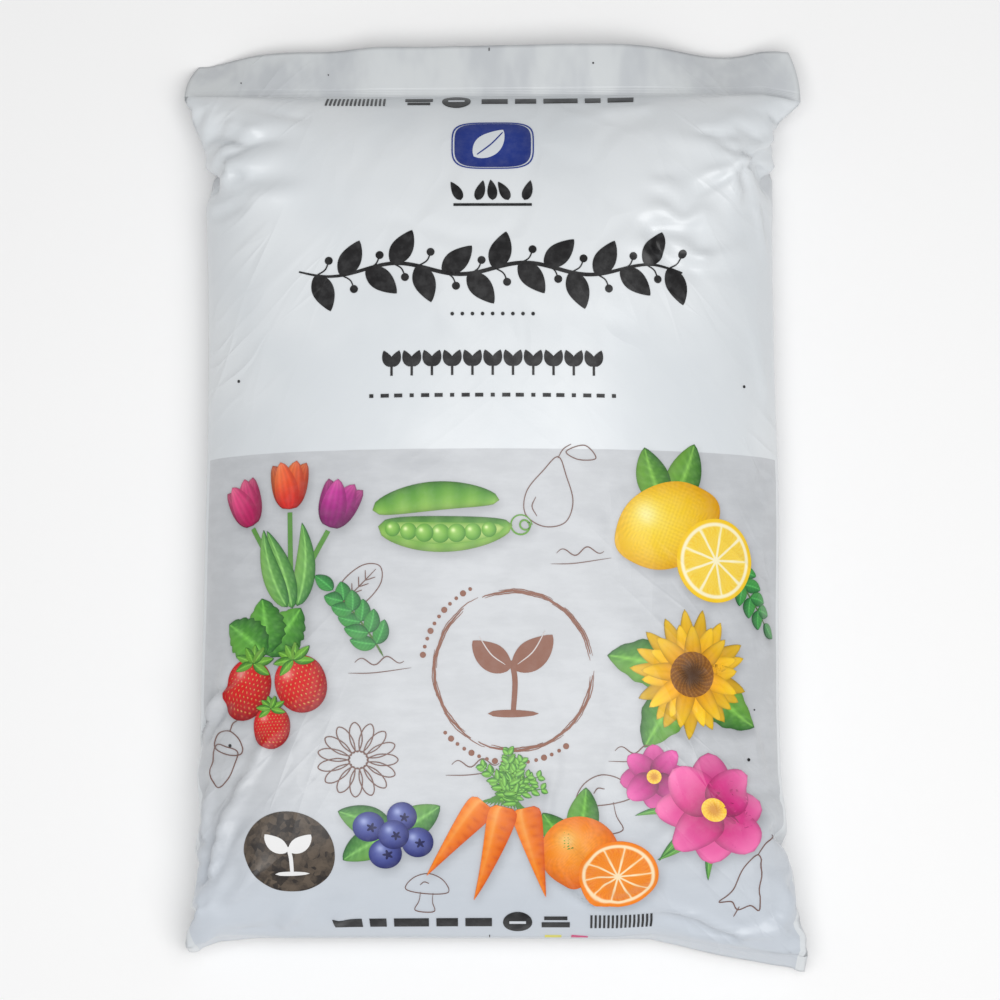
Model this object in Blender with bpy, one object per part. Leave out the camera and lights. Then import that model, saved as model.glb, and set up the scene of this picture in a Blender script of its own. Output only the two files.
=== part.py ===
"""A filled and sealed bag of light compost, lying on its back.

The bag is one flat tube of plastic film, welded across both ends. Each weld
leaves a flat two-layer flap. The top flap stands out from the bag, and the
bottom flap is turned down under the end of the filling. Units are metres, +Z
is up, +Y points to the top of the print and +X to the print's right. The
origin is in the middle of the underside, on the surface that the bag lies on.
"""

import math

import bpy
import numpy as np

# Filled body
filledLength = 0.515       # between the end welds, along the middle
crownRise = 0.0655         # from the side folds' level up to the crown
seamLevel = 0.031          # the side folds above the underside, at mid length
sideRim = 0.017            # how far the underside rolls up to the side folds
endRim = 0.017             # how far the underside rolls up to the end welds
cornerRim = 0.022          # how much wider that roll is in the flat corners
cornerStart = 0.84         # share of the half length where it starts to widen

# Both sides in plan: share of the half length, from the bottom, and the distance from the middle line. The film
# stands out in a flat corner at each end, and is drawn in just before the top ones.
leftSide = (
    (-1.00, 0.1930), (-0.97, 0.1857), (-0.94, 0.1800), (-0.85, 0.1794), (-0.62, 0.1790), (-0.35, 0.1788),
    (0.00, 0.1767), (0.30, 0.1761), (0.60, 0.1769), (0.70, 0.1785), (0.76, 0.1767), (0.80, 0.1712),
    (0.84, 0.1760), (0.88, 0.1796), (0.94, 0.1832), (1.00, 0.1915),
)
rightSide = (
    (-1.00, 0.1890), (-0.94, 0.1831), (-0.90, 0.1800), (-0.85, 0.1805), (-0.80, 0.1768), (-0.72, 0.1775),
    (-0.62, 0.1760), (-0.50, 0.1740), (-0.20, 0.1738), (0.00, 0.1744), (0.20, 0.1733), (0.40, 0.1721),
    (0.60, 0.1720), (0.70, 0.1733), (0.76, 0.1746), (0.80, 0.1715), (0.84, 0.1698), (0.88, 0.1715),
    (0.92, 0.1790), (0.96, 0.1888), (1.00, 0.1930),
)

# Both welds in plan: share of the half width, and how far that place lies up the bag from the weld's middle
bottomWeld = ((-1.0, -0.0048), (-0.93, -0.0031), (-0.8, -0.0009), (-0.6, 0.0), (0.35, 0.0),
              (0.5, -0.0021), (0.7, -0.0053), (0.9, -0.0082), (1.0, -0.0106))
topWeld = ((-1.0, 0.0005), (-0.5, -0.0005), (0.0, 0.0), (0.5, 0.0009), (0.88, 0.0017), (1.0, -0.0032))

# Level of the side folds and welds, as a share of the seam level, at shares of the half length
seamLine = ((-1.0, 0.97), (-0.9, 1.05), (-0.4, 1.02), (0.0, 1.00), (0.6, 0.92), (1.0, 0.86))

# Rise of the filled front, as a share of the crown's rise: (1 - share ^ fullness) ^ slope across the bag, and the
# same along it to each end. The lower of the two holds, and riseBlend is how widely the change between them is rounded.
acrossFullness = 2.8
acrossSlope = 0.70
lowAcrossSlope = 0.61      # fuller sides below the middle, where the filling has settled
topFullness = 3.0
topSlope = 0.60
bottomFullness = 3.35
bottomSlope = 0.80
riseBlend = 0.25

# Flaps beyond the welds
topFlapLength = 0.030
bottomFlapLength = 0.024
filmPair = 0.0005          # two layers of film welded together
flapWave = 0.0035          # height of the waves at the top flap's free edge
flapWaves = 3.5            # waves across the top flap
flapTaper = 0.006          # how much narrower the top flap's free edge is

# How far each flap points below level, in degrees, from left to right
topFlapDroop = ((-1.0, 48), (-0.85, 43), (-0.66, 25), (-0.38, 13), (0.4, 8), (0.6, 24), (0.8, 42), (1.0, 32))
bottomFlapDroop = ((-1.0, 82), (0.4, 85), (0.6, 76), (0.85, 71), (1.0, 66))

# Folds of the front film: start and end as shares of the half width and half
# length, then the half breadth and the height. A negative height is a furrow.
folds = (
    # the star in the top right corner
    (0.98, 0.90, 0.90, 0.84, 0.0075, 0.0035),
    (0.98, 0.89, 0.87, 0.82, 0.0075, -0.0032),
    (0.72, 0.78, 0.90, 0.83, 0.0075, 0.0026),
    (0.81, 0.85, 0.90, 0.83, 0.0075, 0.0021),
    (0.77, 0.88, 0.87, 0.83, 0.0075, -0.0018),
    (0.98, 0.82, 0.93, 0.82, 0.0075, -0.0014),
    (0.72, 0.72, 0.86, 0.79, 0.0075, 0.0018),
    (0.69, 0.72, 0.82, 0.78, 0.0075, -0.0014),
    (0.83, 0.71, 0.86, 0.77, 0.0075, 0.0027),
    (0.87, 0.73, 0.86, 0.78, 0.0075, 0.0019),
    # the loops below the star
    (0.69, 0.73, 0.57, 0.76, 0.0075, 0.0018),
    (0.79, 0.70, 0.69, 0.67, 0.0075, 0.0027),
    (0.52, 0.71, 0.63, 0.67, 0.0075, 0.0031),
    (0.73, 0.65, 0.57, 0.65, 0.0075, -0.0022),
    (0.53, 0.66, 0.58, 0.60, 0.0075, -0.0024),
    (0.64, 0.56, 0.57, 0.60, 0.0075, -0.0023),
    (0.58, 0.61, 0.74, 0.58, 0.0075, 0.0027),
    (0.89, 0.61, 0.75, 0.58, 0.0075, 0.0027),
    (0.89, 0.58, 0.70, 0.56, 0.0075, -0.0016),
    (0.97, 0.61, 0.95, 0.71, 0.0075, 0.0018),
    # across the top
    (0.89, 0.88, 0.74, 0.89, 0.0075, -0.0014),
    (0.97, 0.93, 0.84, 0.94, 0.0075, 0.0014),
    # the top left corner
    (-0.97, 0.83, -0.87, 0.86, 0.0075, 0.0024),
    (-0.71, 0.88, -0.87, 0.86, 0.0075, -0.0018),
    (-0.98, 0.91, -0.86, 0.87, 0.0075, -0.0018),
    (-0.97, 0.94, -0.82, 0.91, 0.0075, 0.0016),
    (-0.70, 0.79, -0.90, 0.79, 0.0075, -0.0016),
    (-0.97, 0.82, -0.89, 0.79, 0.0075, -0.0014),
    (-0.85, 0.73, -0.97, 0.78, 0.0075, -0.0025),
    (-0.65, 0.74, -0.87, 0.73, 0.0075, 0.0016),
    # the left side
    (-0.87, -0.32, -0.95, -0.50, 0.0075, 0.0020),
    (-0.84, -0.41, -0.98, -0.54, 0.0075, 0.0029),
    (-0.88, -0.43, -0.95, -0.53, 0.0075, -0.0018),
    (-0.72, -0.52, -0.86, -0.67, 0.0075, 0.0027),
    (-0.69, -0.53, -0.80, -0.62, 0.0075, -0.0016),
    (-0.86, -0.67, -0.96, -0.85, 0.0075, 0.0027),
    (-0.94, -0.60, -0.98, -0.77, 0.0075, 0.0024),
    (-0.81, -0.69, -0.92, -0.84, 0.0075, -0.0019),
    (-0.93, -0.79, -0.97, -0.85, 0.0075, -0.0024),
    (-0.76, -0.82, -0.85, -0.91, 0.0075, 0.0018),
    (-0.85, -0.91, -0.96, -0.92, 0.0075, -0.0014),
    (-0.61, -0.91, -0.69, -0.98, 0.0075, 0.0018),
    (-0.63, -0.96, -0.82, -0.99, 0.0075, -0.0014),
    (-0.83, -0.93, -0.94, -1.00, 0.0075, 0.0018),
    # the bottom edge and its right corner
    (0.21, -0.84, 0.31, -0.92, 0.0075, 0.0018),
    (0.32, -0.84, 0.38, -0.91, 0.0075, -0.0016),
    (0.55, -0.87, 0.43, -0.91, 0.0075, -0.0014),
    (0.50, -0.94, 0.64, -0.96, 0.0075, 0.0018),
    (0.64, -0.96, 0.78, -1.00, 0.0075, 0.0021),
    (0.94, -0.97, 0.79, -1.00, 0.0075, 0.0016),
    (0.52, -0.96, 0.78, -1.00, 0.0075, -0.0018),
    (0.68, -1.00, 0.98, -1.00, 0.0075, 0.0016),
    (0.93, -0.83, 0.97, -0.92, 0.0075, 0.0014),
)

# Mesh
rimColumns = 7
middleColumns = 36
rimRows = 6
middleRows = 56
flapRows = 3

# Print: a white upper field, a grey lower field and plain round fields of colour
greyFieldEdge = 0.033      # top edge of the grey field, from the bag's middle
whiteFilm = (0.66, 0.70, 0.73)
greyFilm = (0.60, 0.62, 0.66)
printDiscs = (
    # across, along, outer radius, inner radius, colour
    (-0.003, 0.219, 0.022, 0.000, (0.012, 0.036, 0.235)),
    (0.010, -0.101, 0.047, 0.042, (0.262, 0.102, 0.061)),
    (-0.126, -0.211, 0.025, 0.000, (0.045, 0.038, 0.034)),
    (-0.125, -0.005, 0.028, 0.000, (0.700, 0.060, 0.120)),
    (-0.033, -0.008, 0.024, 0.000, (0.090, 0.330, 0.030)),
    (0.112, -0.017, 0.030, 0.000, (0.930, 0.680, 0.040)),
    (-0.134, -0.115, 0.026, 0.000, (0.680, 0.020, 0.020)),
    (0.118, -0.107, 0.030, 0.000, (0.900, 0.520, 0.020)),
    (-0.064, -0.200, 0.024, 0.000, (0.050, 0.070, 0.250)),
    (0.000, -0.194, 0.026, 0.000, (0.870, 0.250, 0.020)),
    (0.064, -0.218, 0.024, 0.000, (0.900, 0.300, 0.020)),
    (0.125, -0.182, 0.028, 0.000, (0.600, 0.120, 0.330)),
)

halfLength = filledLength / 2
halfWidth = 0.175          # mean of both sides' tables, for the grid's spacing


def clearScene():
    """Remove whatever the scene holds."""
    for old in list(bpy.data.objects):
        bpy.data.objects.remove(old, do_unlink=True)


def spacedShares(rimShare, rimCount, middleCount):
    """Grid lines from -1 to 1: even in the middle, closer towards both rims."""
    quarter = np.linspace(0, math.pi / 2, rimCount + 1)
    rim = (1 - rimShare) + rimShare * np.sin(quarter)
    middle = np.linspace(-(1 - rimShare), 1 - rimShare, middleCount + 1)
    return np.concatenate((-rim[:0:-1], middle, rim[1:]))


def smoothStep(value):
    """0 below 0, 1 above 1, and a smooth rise between them."""
    share = np.clip(value, 0, 1)
    return share * share * (3 - 2 * share)


def tableAt(table, share):
    """A table's value at a share: straight between its entries."""
    stations, values = zip(*table)
    return np.interp(share, stations, values)


def bodyPlan(u, t):
    """Places across and along of the film at shares u of the width and t of the length."""
    left = -tableAt(leftSide, t)
    right = tableAt(rightSide, t)
    across = left + (right - left) * (u + 1) / 2
    shift = np.where(t > 0, tableAt(topWeld, u), tableAt(bottomWeld, u))
    return across, t * halfLength + shift * np.abs(t) ** 8


def filledRise(u, t):
    """Rise of the filled front above the side folds: the lower of its two profiles, with a rounded change."""
    slope = acrossSlope + (lowAcrossSlope - acrossSlope) * smoothStep(-2 * t)
    across = np.maximum(1 - np.abs(u) ** acrossFullness, 0) ** slope
    toTop = np.maximum(1 - np.abs(t) ** topFullness, 0) ** topSlope
    toBottom = np.maximum(1 - np.abs(t) ** bottomFullness, 0) ** bottomSlope
    along = np.where(t > 0, toTop, toBottom)
    lower = np.minimum(across, along)
    width = np.maximum(riseBlend * (1 - lower), 1e-6)
    near = np.maximum(1 - np.abs(across - along) / width, 0)
    return crownRise * np.maximum(lower - width * near ** 2 / 4, 0)


def seamHeight(t):
    """Level of the side folds and of the welds."""
    return seamLevel * tableAt(seamLine, t)


def foldRelief(u, t):
    """Height that the folds add: a smooth ridge along each fold's own line."""
    x = u * halfWidth
    y = t * halfLength
    relief = np.zeros_like(x)
    for u0, t0, u1, t1, breadth, height in folds:
        startX, startY = u0 * halfWidth, t0 * halfLength
        runX, runY = u1 * halfWidth - startX, t1 * halfLength - startY
        run = math.hypot(runX, runY)
        share = np.clip(((x - startX) * runX + (y - startY) * runY) / run ** 2, 0, 1)
        away = np.hypot(x - startX - share * runX, y - startY - share * runY)
        relief += height * np.exp(-(away / breadth) ** 2)
    return relief


def frontHeight(u, t):
    """Front film: the side folds' level, the filled rise and the folds, which fade out towards the edge."""
    rise = filledRise(u, t)
    nearEdge = smoothStep(rise / crownRise / 0.22)
    return seamHeight(t) + rise + foldRelief(u, t) * nearEdge


def backHeight(u, t):
    """Underside: flat, with a quarter-round rim up to the side folds and welds, wider in the flat corners."""
    width = sideRim + cornerRim * smoothStep((np.abs(t) - cornerStart) / (1 - cornerStart))
    toSide = np.clip(1 - (1 - np.abs(u)) * halfWidth / width, 0, 1)
    toEnd = np.clip(1 - (1 - np.abs(t)) * halfLength / endRim, 0, 1)
    rise = np.clip(np.hypot(toSide, toEnd), 0, 1)
    rise[rise < 1e-6] = 0
    return seamHeight(t) * (1 - np.sqrt(1 - rise ** 2))


def flapSheet(u, seam, end):
    """Rows of one flap's middle surface and its normals, from the weld to its free edge.

    Each column leaves the weld at its own angle below level, and the top
    flap's free edge waves gently.
    """
    droopTable = topFlapDroop if end > 0 else bottomFlapDroop
    length = topFlapLength if end > 0 else bottomFlapLength
    stations, degrees = zip(*droopTable)
    angle = np.radians(np.interp(u, stations, degrees))
    rows = []
    for row in range(1, flapRows + 1):
        share = row / flapRows
        point = seam.copy()
        point[:, 1] += end * length * share * np.cos(angle)
        point[:, 2] -= length * share * np.sin(angle)
        if end > 0:
            point[:, 0] -= u * flapTaper / 2 * share
            point[:, 2] += flapWave * share ** 2 * np.sin(math.pi * flapWaves * u + 0.6)
        rows.append(point)
    normal = np.stack((np.zeros_like(u), end * np.sin(angle), np.cos(angle)), axis=1)
    return rows, normal


def bagSheets():
    """Front and back layers of the film as two grids of points with one edge in common."""
    u = spacedShares((sideRim + cornerRim) / halfWidth, rimColumns, middleColumns)
    t = spacedShares(endRim / halfLength, rimRows, middleRows)
    gridT, gridU = np.meshgrid(t, u, indexing="ij")
    across, along = bodyPlan(gridU, gridT)
    front = np.stack((across, along, frontHeight(gridU, gridT)), axis=2)
    back = np.stack((across, along, backHeight(gridU, gridT)), axis=2)

    up = np.array((0.0, 0.0, 1.0))
    frontRows = []
    backRows = []
    for end, seamRow in ((-1, 0), (1, len(t) - 1)):
        rows, normal = flapSheet(u, front[seamRow], end)
        bend = (normal + up) / np.linalg.norm(normal + up, axis=1)[:, None]
        front[seamRow] += bend * filmPair / 2
        back[seamRow] -= bend * filmPair / 2
        outer = [row + normal * filmPair / 2 for row in rows]
        inner = [row - normal * filmPair / 2 for row in rows]
        if end < 0:
            frontRows = outer[::-1] + list(front)
            backRows = inner[::-1] + list(back)
        else:
            frontRows += outer
            backRows += inner
    front = np.array(frontRows)
    back = np.array(backRows)

    # The seam rows of the body changed in place above, so only the side folds are left
    body = slice(flapRows + 1, -flapRows - 1)
    for side in (0, -1):
        front[body, side, 2] += filmPair / 2
        back[body, side, 2] -= filmPair / 2
    return front, back


def bagMesh():
    """Close the two layers into one solid, with one flat face for the underside."""
    front, back = bagSheets()
    rows, columns = front.shape[:2]
    points = np.concatenate((front.reshape(-1, 3), back.reshape(-1, 3)))
    index = np.arange(rows * columns).reshape(rows, columns)
    under = index + rows * columns

    faces = []
    for row in range(rows - 1):
        for column in range(columns - 1):
            faces.append((index[row, column], index[row, column + 1],
                          index[row + 1, column + 1], index[row + 1, column]))

    # The flat part of the underside is one face, and the rim around it a grid
    firstRow, lastRow = flapRows + rimRows, rows - 1 - flapRows - rimRows
    firstColumn, lastColumn = rimColumns, columns - 1 - rimColumns
    for row in range(rows - 1):
        for column in range(columns - 1):
            if firstRow <= row < lastRow and firstColumn <= column < lastColumn:
                continue
            faces.append((under[row, column], under[row + 1, column],
                          under[row + 1, column + 1], under[row, column + 1]))
    flat = list(under[firstRow:lastRow, firstColumn])
    flat += list(under[lastRow, firstColumn:lastColumn])
    flat += list(under[lastRow:firstRow:-1, lastColumn])
    flat += list(under[firstRow, lastColumn:firstColumn:-1])
    faces.append(tuple(flat))

    # The narrow edge between the layers, all the way round
    loop = list(zip([0] * (columns - 1), range(columns - 1)))
    loop += list(zip(range(rows - 1), [columns - 1] * (rows - 1)))
    loop += list(zip([rows - 1] * (columns - 1), range(columns - 1, 0, -1)))
    loop += list(zip(range(rows - 1, 0, -1), [0] * (rows - 1)))
    for here, following in zip(loop, loop[1:] + loop[:1]):
        faces.append((index[following], index[here], under[here], under[following]))

    used = np.zeros(len(points), dtype=bool)
    for face in faces:
        used[list(face)] = True
    number = np.cumsum(used) - 1
    points = points[used]
    for way in (0, 1):
        points[:, way] -= (points[:, way].min() + points[:, way].max()) / 2
    mesh = bpy.data.meshes.new("soil_bag")
    mesh.from_pydata(points.tolist(), [],
                     [[int(number[corner]) for corner in face] for face in faces])
    mesh.validate()
    mesh.shade_smooth()
    mesh.set_sharp_from_angle(angle=math.radians(50))
    return mesh


def maths(tree, operation, first, second=None, third=None):
    """One Math node; each input is a number or another node's output."""
    node = tree.nodes.new("ShaderNodeMath")
    node.operation = operation
    for socket, value in zip(node.inputs, (first, second, third)):
        if value is None:
            continue
        if isinstance(value, (int, float)):
            socket.default_value = value
        else:
            tree.links.new(value, socket)
    return node.outputs[0]


def paint(tree, mask, under, colour):
    """Lay a colour over another one wherever the mask is 1."""
    mix = tree.nodes.new("ShaderNodeMix")
    mix.data_type = "RGBA"
    tree.links.new(mask, mix.inputs["Factor"])
    tree.links.new(under, mix.inputs["A"])
    mix.inputs["B"].default_value = (*colour, 1)
    return mix.outputs["Result"]


def printedFilm():
    """Satin plastic film: white above, grey below, with round fields of colour in front."""
    material = bpy.data.materials.new("printed_film")
    material.use_nodes = True
    material.diffuse_color = (*whiteFilm, 1)
    tree = material.node_tree
    shader = tree.nodes["Principled BSDF"]
    shader.inputs["Roughness"].default_value = 0.35
    shader.inputs["Metallic"].default_value = 0.0

    place = tree.nodes.new("ShaderNodeTexCoord")
    split = tree.nodes.new("ShaderNodeSeparateXYZ")
    tree.links.new(place.outputs["Object"], split.inputs[0])
    x, y, z = split.outputs
    base = tree.nodes.new("ShaderNodeRGB")
    base.outputs[0].default_value = (*whiteFilm, 1)
    onFront = maths(tree, "GREATER_THAN", z, seamLevel)
    colour = paint(tree, maths(tree, "LESS_THAN", y, greyFieldEdge), base.outputs[0], greyFilm)
    for across, along, outer, inner, ink in printDiscs:
        dx = maths(tree, "SUBTRACT", x, across)
        dy = maths(tree, "SUBTRACT", y, along)
        reach = maths(tree, "SQRT", maths(tree, "ADD", maths(tree, "MULTIPLY", dx, dx),
                                          maths(tree, "MULTIPLY", dy, dy)))
        inside = maths(tree, "LESS_THAN", reach, outer)
        outside = maths(tree, "GREATER_THAN", reach, inner - 0.0001)
        disc = maths(tree, "MULTIPLY", maths(tree, "MULTIPLY", inside, outside), onFront)
        colour = paint(tree, disc, colour, ink)
    tree.links.new(colour, shader.inputs["Base Color"])
    return material


def buildBag():
    """The whole bag: one sealed pack, one solid."""
    bag = bpy.data.objects.new("soil_bag", bagMesh())
    bag.data.materials.append(printedFilm())
    bpy.context.scene.collection.objects.link(bag)
    return bag


clearScene()
buildBag()
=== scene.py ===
# A sealed bag of light compost, lying on its back: film, print, camera and light.
# The film is worked out as a flat tube that is welded at both ends and filled.
import bpy
import math
import mathutils
import numpy as np
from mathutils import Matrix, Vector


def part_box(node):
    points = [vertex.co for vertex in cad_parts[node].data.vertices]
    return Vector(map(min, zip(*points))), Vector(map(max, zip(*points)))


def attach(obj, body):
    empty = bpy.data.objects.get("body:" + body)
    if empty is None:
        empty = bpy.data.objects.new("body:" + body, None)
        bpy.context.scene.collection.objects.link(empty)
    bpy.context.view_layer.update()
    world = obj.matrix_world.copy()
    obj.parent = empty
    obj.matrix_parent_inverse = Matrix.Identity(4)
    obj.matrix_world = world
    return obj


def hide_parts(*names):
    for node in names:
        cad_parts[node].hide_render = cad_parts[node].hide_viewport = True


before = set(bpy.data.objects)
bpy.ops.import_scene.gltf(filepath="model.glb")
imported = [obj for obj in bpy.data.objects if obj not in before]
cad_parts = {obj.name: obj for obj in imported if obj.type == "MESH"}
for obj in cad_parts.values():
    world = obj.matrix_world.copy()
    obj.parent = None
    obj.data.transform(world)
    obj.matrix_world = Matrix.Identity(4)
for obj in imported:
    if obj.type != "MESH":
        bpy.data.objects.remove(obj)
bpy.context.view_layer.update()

# The flat tube as it comes off the roll, and what goes into it, in metres
filmTube = dict(
    width=0.389,          # lay-flat, side fold to side fold
    length=0.548,         # along the film, weld to weld
    topFlap=0.0343,
    bottomFlap=0.025,
    pair=0.0005,          # two layers welded together
    volume=0.0132,        # of the filling, in cubic metres
    cell=0.0025,          # of the finished mesh
    seed=3,
)

# Where the filling is loose: across and along as shares of the half sizes,
# how far that reaches each way, and how much of the push is missing there
looseSpots = (
    (0.92, 0.74, 0.22, 0.16, 0.75),
    (-0.92, 0.84, 0.20, 0.14, 0.45),
    (-0.98, -0.55, 0.18, 0.34, 0.35),
    (0.98, -0.75, 0.20, 0.30, 0.25),
    (0.00, -1.10, 1.80, 0.42, 0.55),
    (0.75, -0.96, 0.40, 0.14, 0.35),
    (-0.75, -0.96, 0.35, 0.16, 0.35),
)

# Coarse to fine: cell size, steps, first jitter, push, damping and stiffness
simLevels = (
    dict(cell=0.020, steps=500, jitter=2e-4, push=4e-5, damp=0.97, squeeze=0.1, shear=0.5, bend=0.02,
         cap=0.004),
    dict(cell=0.010, steps=300, jitter=2e-4, push=3e-5, damp=0.96, squeeze=0.5, shear=0.5, bend=0.03,
         cap=0.003),
    dict(cell=0.005, steps=200, jitter=1e-4, push=2e-5, damp=0.95, squeeze=0.9, shear=0.6, bend=0.06,
         cap=0.002),
    dict(cell=0.0025, steps=90, jitter=5e-5, push=1e-5, damp=0.94, squeeze=1.0, shear=0.6, bend=0.10,
         cap=0.001),
)
simSettings = dict(rounds=4, weight=2e-6, soilPush=0.6, straightTop=0.5, straightBottom=0.01)


# Pairs (i, i + step) of a row, split into runs that share no point, as slices.
def pairRuns(count, step):
    runs = []
    for start in range(min(2 * step, count - step)):
        size = (count - step - 1 - start) // (2 * step) + 1
        last = start + 2 * step * (size - 1) + 1
        runs.append((slice(start, last, 2 * step), slice(start + step, last + step, 2 * step)))
    return runs


# Each pair moves half the way to its rest distance, times one stiffness when long, another when short.
def pullPairs(points, first, second, rest, stretch, squeeze):
    gap = points[second] - points[first]
    size = np.sqrt((gap * gap).sum(-1)) + 1e-9
    share = (size - rest) / size
    share *= np.where(share > 0, np.float32(0.5 * stretch), np.float32(0.5 * squeeze))
    gap *= share[..., None]
    points[first] += gap
    points[second] -= gap


# One round on a sheet: threads both ways, diagonals, then pairs two cells apart, which resist folding.
def relaxSheet(points, cells, level):
    across, along = cells
    everyRow = slice(None)
    acrossRuns, alongRuns = pairRuns(points.shape[0], 1), pairRuns(points.shape[1], 1)
    for a, b in acrossRuns:
        pullPairs(points, (a, everyRow), (b, everyRow), across, 1.0, level["squeeze"])
    for a, b in alongRuns:
        pullPairs(points, (everyRow, a), (everyRow, b), along, 1.0, level["squeeze"])
    diagonal = math.hypot(across, along)
    for a, b in acrossRuns:
        for c, d in alongRuns:
            pullPairs(points, (a, c), (b, d), diagonal, level["shear"], 0.7 * level["shear"])
            pullPairs(points, (b, c), (a, d), diagonal, level["shear"], 0.7 * level["shear"])
    for a, b in pairRuns(points.shape[0], 2):
        pullPairs(points, (a, everyRow), (b, everyRow), 2 * across, 0.0, level["bend"])
    for a, b in pairRuns(points.shape[1], 2):
        pullPairs(points, (everyRow, a), (everyRow, b), 2 * along, 0.0, level["bend"])


# Area vector of each cell: half the cross product of its diagonals.
def cellAreas(points):
    one = points[1:, 1:] - points[:-1, :-1]
    two = points[:-1, 1:] - points[1:, :-1]
    return 0.5 * np.cross(one, two)


# Area vector of each point: a quarter of each cell around it.
def pointAreas(points):
    quarter = 0.25 * cellAreas(points)
    areas = np.zeros_like(points)
    areas[1:, 1:] += quarter
    areas[:-1, :-1] += quarter
    areas[1:, :-1] += quarter
    areas[:-1, 1:] += quarter
    return areas


# Signed volume between a sheet and the origin: a third of area times the cell's middle.
def volumeUnder(points):
    middle = 0.25 * (points[1:, 1:] + points[:-1, :-1] + points[1:, :-1] + points[:-1, 1:])
    return float((cellAreas(points).astype(np.float64) * middle).sum() / 3)


# The same sheet on a finer grid: cubic curves through the points, first one way and then the other.
def refined(points, rows, columns):
    for axis, count in ((0, rows), (1, columns)):
        points = np.moveaxis(points, axis, 0)
        place = np.linspace(0, points.shape[0] - 1, count)
        start = np.minimum(place.astype(int), points.shape[0] - 2)
        share = (place - start)[:, None, None].astype(points.dtype)
        last = points.shape[0] - 1
        p0, p1 = points[np.maximum(start - 1, 0)], points[start]
        p2, p3 = points[start + 1], points[np.minimum(start + 2, last)]
        p0 = np.where((start == 0)[:, None, None], 2 * p1 - p2, p0)
        p3 = np.where((start == last - 1)[:, None, None], 2 * p2 - p1, p3)
        points = 0.5 * (2 * p1 + (p2 - p0) * share + (2 * p0 - 5 * p1 + 4 * p2 - p3) * share ** 2
                        + (3 * p1 - p0 - 3 * p2 + p3) * share ** 3)
        points = np.moveaxis(points, 0, axis)
    return np.ascontiguousarray(points)


# Share of the full push at shares of the half sizes: 1, less a smooth dip at each loose spot.
def fillShare(across, along):
    share = np.ones_like(across)
    for s, t, reachS, reachT, missing in looseSpots:
        share -= missing * np.exp(-((across - s) / reachS) ** 2 - ((along - t) / reachT) ** 2)
    return np.clip(share, 0.05, 1)


# The two sheets share their side folds and their welds.
def joinEdges(front, back):
    for edge in ((0, slice(None)), (-1, slice(None)), (slice(None), 0), (slice(None), -1)):
        middle = 0.5 * (front[edge] + back[edge])
        front[edge] = middle
        back[edge] = middle


# The tube's front and back sheets after filling, as grids of points. Both sheets start as a thin lens. The
# filling pushes along each point's area vector, harder the deeper it is and the further the volume is below
# the real one, the floor stops at zero, and the threads keep their length.
def fillTube():
    width, length = filmTube["width"], filmTube["length"]
    random = np.random.default_rng(filmTube["seed"])
    levels = simLevels
    front = back = None
    for level in levels:
        columns, rows = round(width / level["cell"]), round(length / level["cell"])
        cells = width / columns, length / rows
        s, t = np.meshgrid(np.linspace(-1, 1, columns + 1), np.linspace(-1, 1, rows + 1), indexing="ij")
        if front is None:
            lens = np.sqrt((1 - s ** 2) * (1 - t ** 2))
            flat = (0.97 * s * width / 2, 0.97 * t * length / 2)
            front = np.stack((*flat, 0.045 + 0.045 * lens), -1).astype(np.float32)
            back = np.stack((*flat, 0.045 - 0.040 * lens), -1).astype(np.float32)
        else:
            front = refined(front, columns + 1, rows + 1)
            back = refined(back, columns + 1, rows + 1)
        front += random.normal(0, level["jitter"], front.shape).astype(np.float32)
        back += random.normal(0, level["jitter"], back.shape).astype(np.float32)
        joinEdges(front, back)
        push = (level["push"] * fillShare(s, t) / (cells[0] * cells[1])).astype(np.float32)
        speedFront, speedBack = np.zeros_like(front), np.zeros_like(back)
        for step in range(level["steps"]):
            if step % 4 == 0:
                volume = volumeUnder(front) - volumeUnder(back)
                short = min(max(30 * (1 - volume / filmTube["volume"]), -0.3), 2.0)
                crown = front[..., 2].max()
            areasFront, areasBack = pointAreas(front), -pointAreas(back)
            joined = areasFront + areasBack
            for edge in ((0, slice(None)), (-1, slice(None)), (slice(None), 0), (slice(None), -1)):
                areasFront[edge] = joined[edge]
                areasBack[edge] = joined[edge]
            for points, speed, areas in ((front, speedFront, areasFront), (back, speedBack, areasBack)):
                pressure = push * (short + simSettings["soilPush"] * (crown - points[..., 2]) / 0.1)
                speed *= level["damp"]
                speed += pressure[..., None] * areas
                speed[..., 2] -= simSettings["weight"]
            wasFront, wasBack = front.copy(), back.copy()
            front += speedFront
            back += speedBack
            for _ in range(simSettings["rounds"]):
                relaxSheet(front, cells, level)
                relaxSheet(back, cells, level)
                joinEdges(front, back)
                for end, keep in ((-1, simSettings["straightTop"]), (0, simSettings["straightBottom"])):
                    seam = front[:, end, 1]
                    seam += keep * (seam.mean() - seam)
                    back[:, end, 1] = seam
            for points, was, speed in ((front, wasFront, speedFront), (back, wasBack, speedBack)):
                low = points[..., 2] < 0
                points[low, 2] = 0
                points[low, :2] = was[low, :2] + 0.3 * (points[low, :2] - was[low, :2])
                np.clip(points - was, -level["cap"], level["cap"], out=speed)
        print("film at", level["cell"], "m, litres", round(1000 * volume, 2),
              "size", [round(float(v), 4) for v in np.ptp(front.reshape(-1, 3), axis=0)])
    columns, rows = round(width / filmTube["cell"]), round(length / filmTube["cell"])
    if front.shape[0] != columns + 1:
        front, back = refined(front, columns + 1, rows + 1), refined(back, columns + 1, rows + 1)
        joinEdges(front, back)
    return front.astype(np.float64), back.astype(np.float64)


frontBody, backBody = fillTube()


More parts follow.
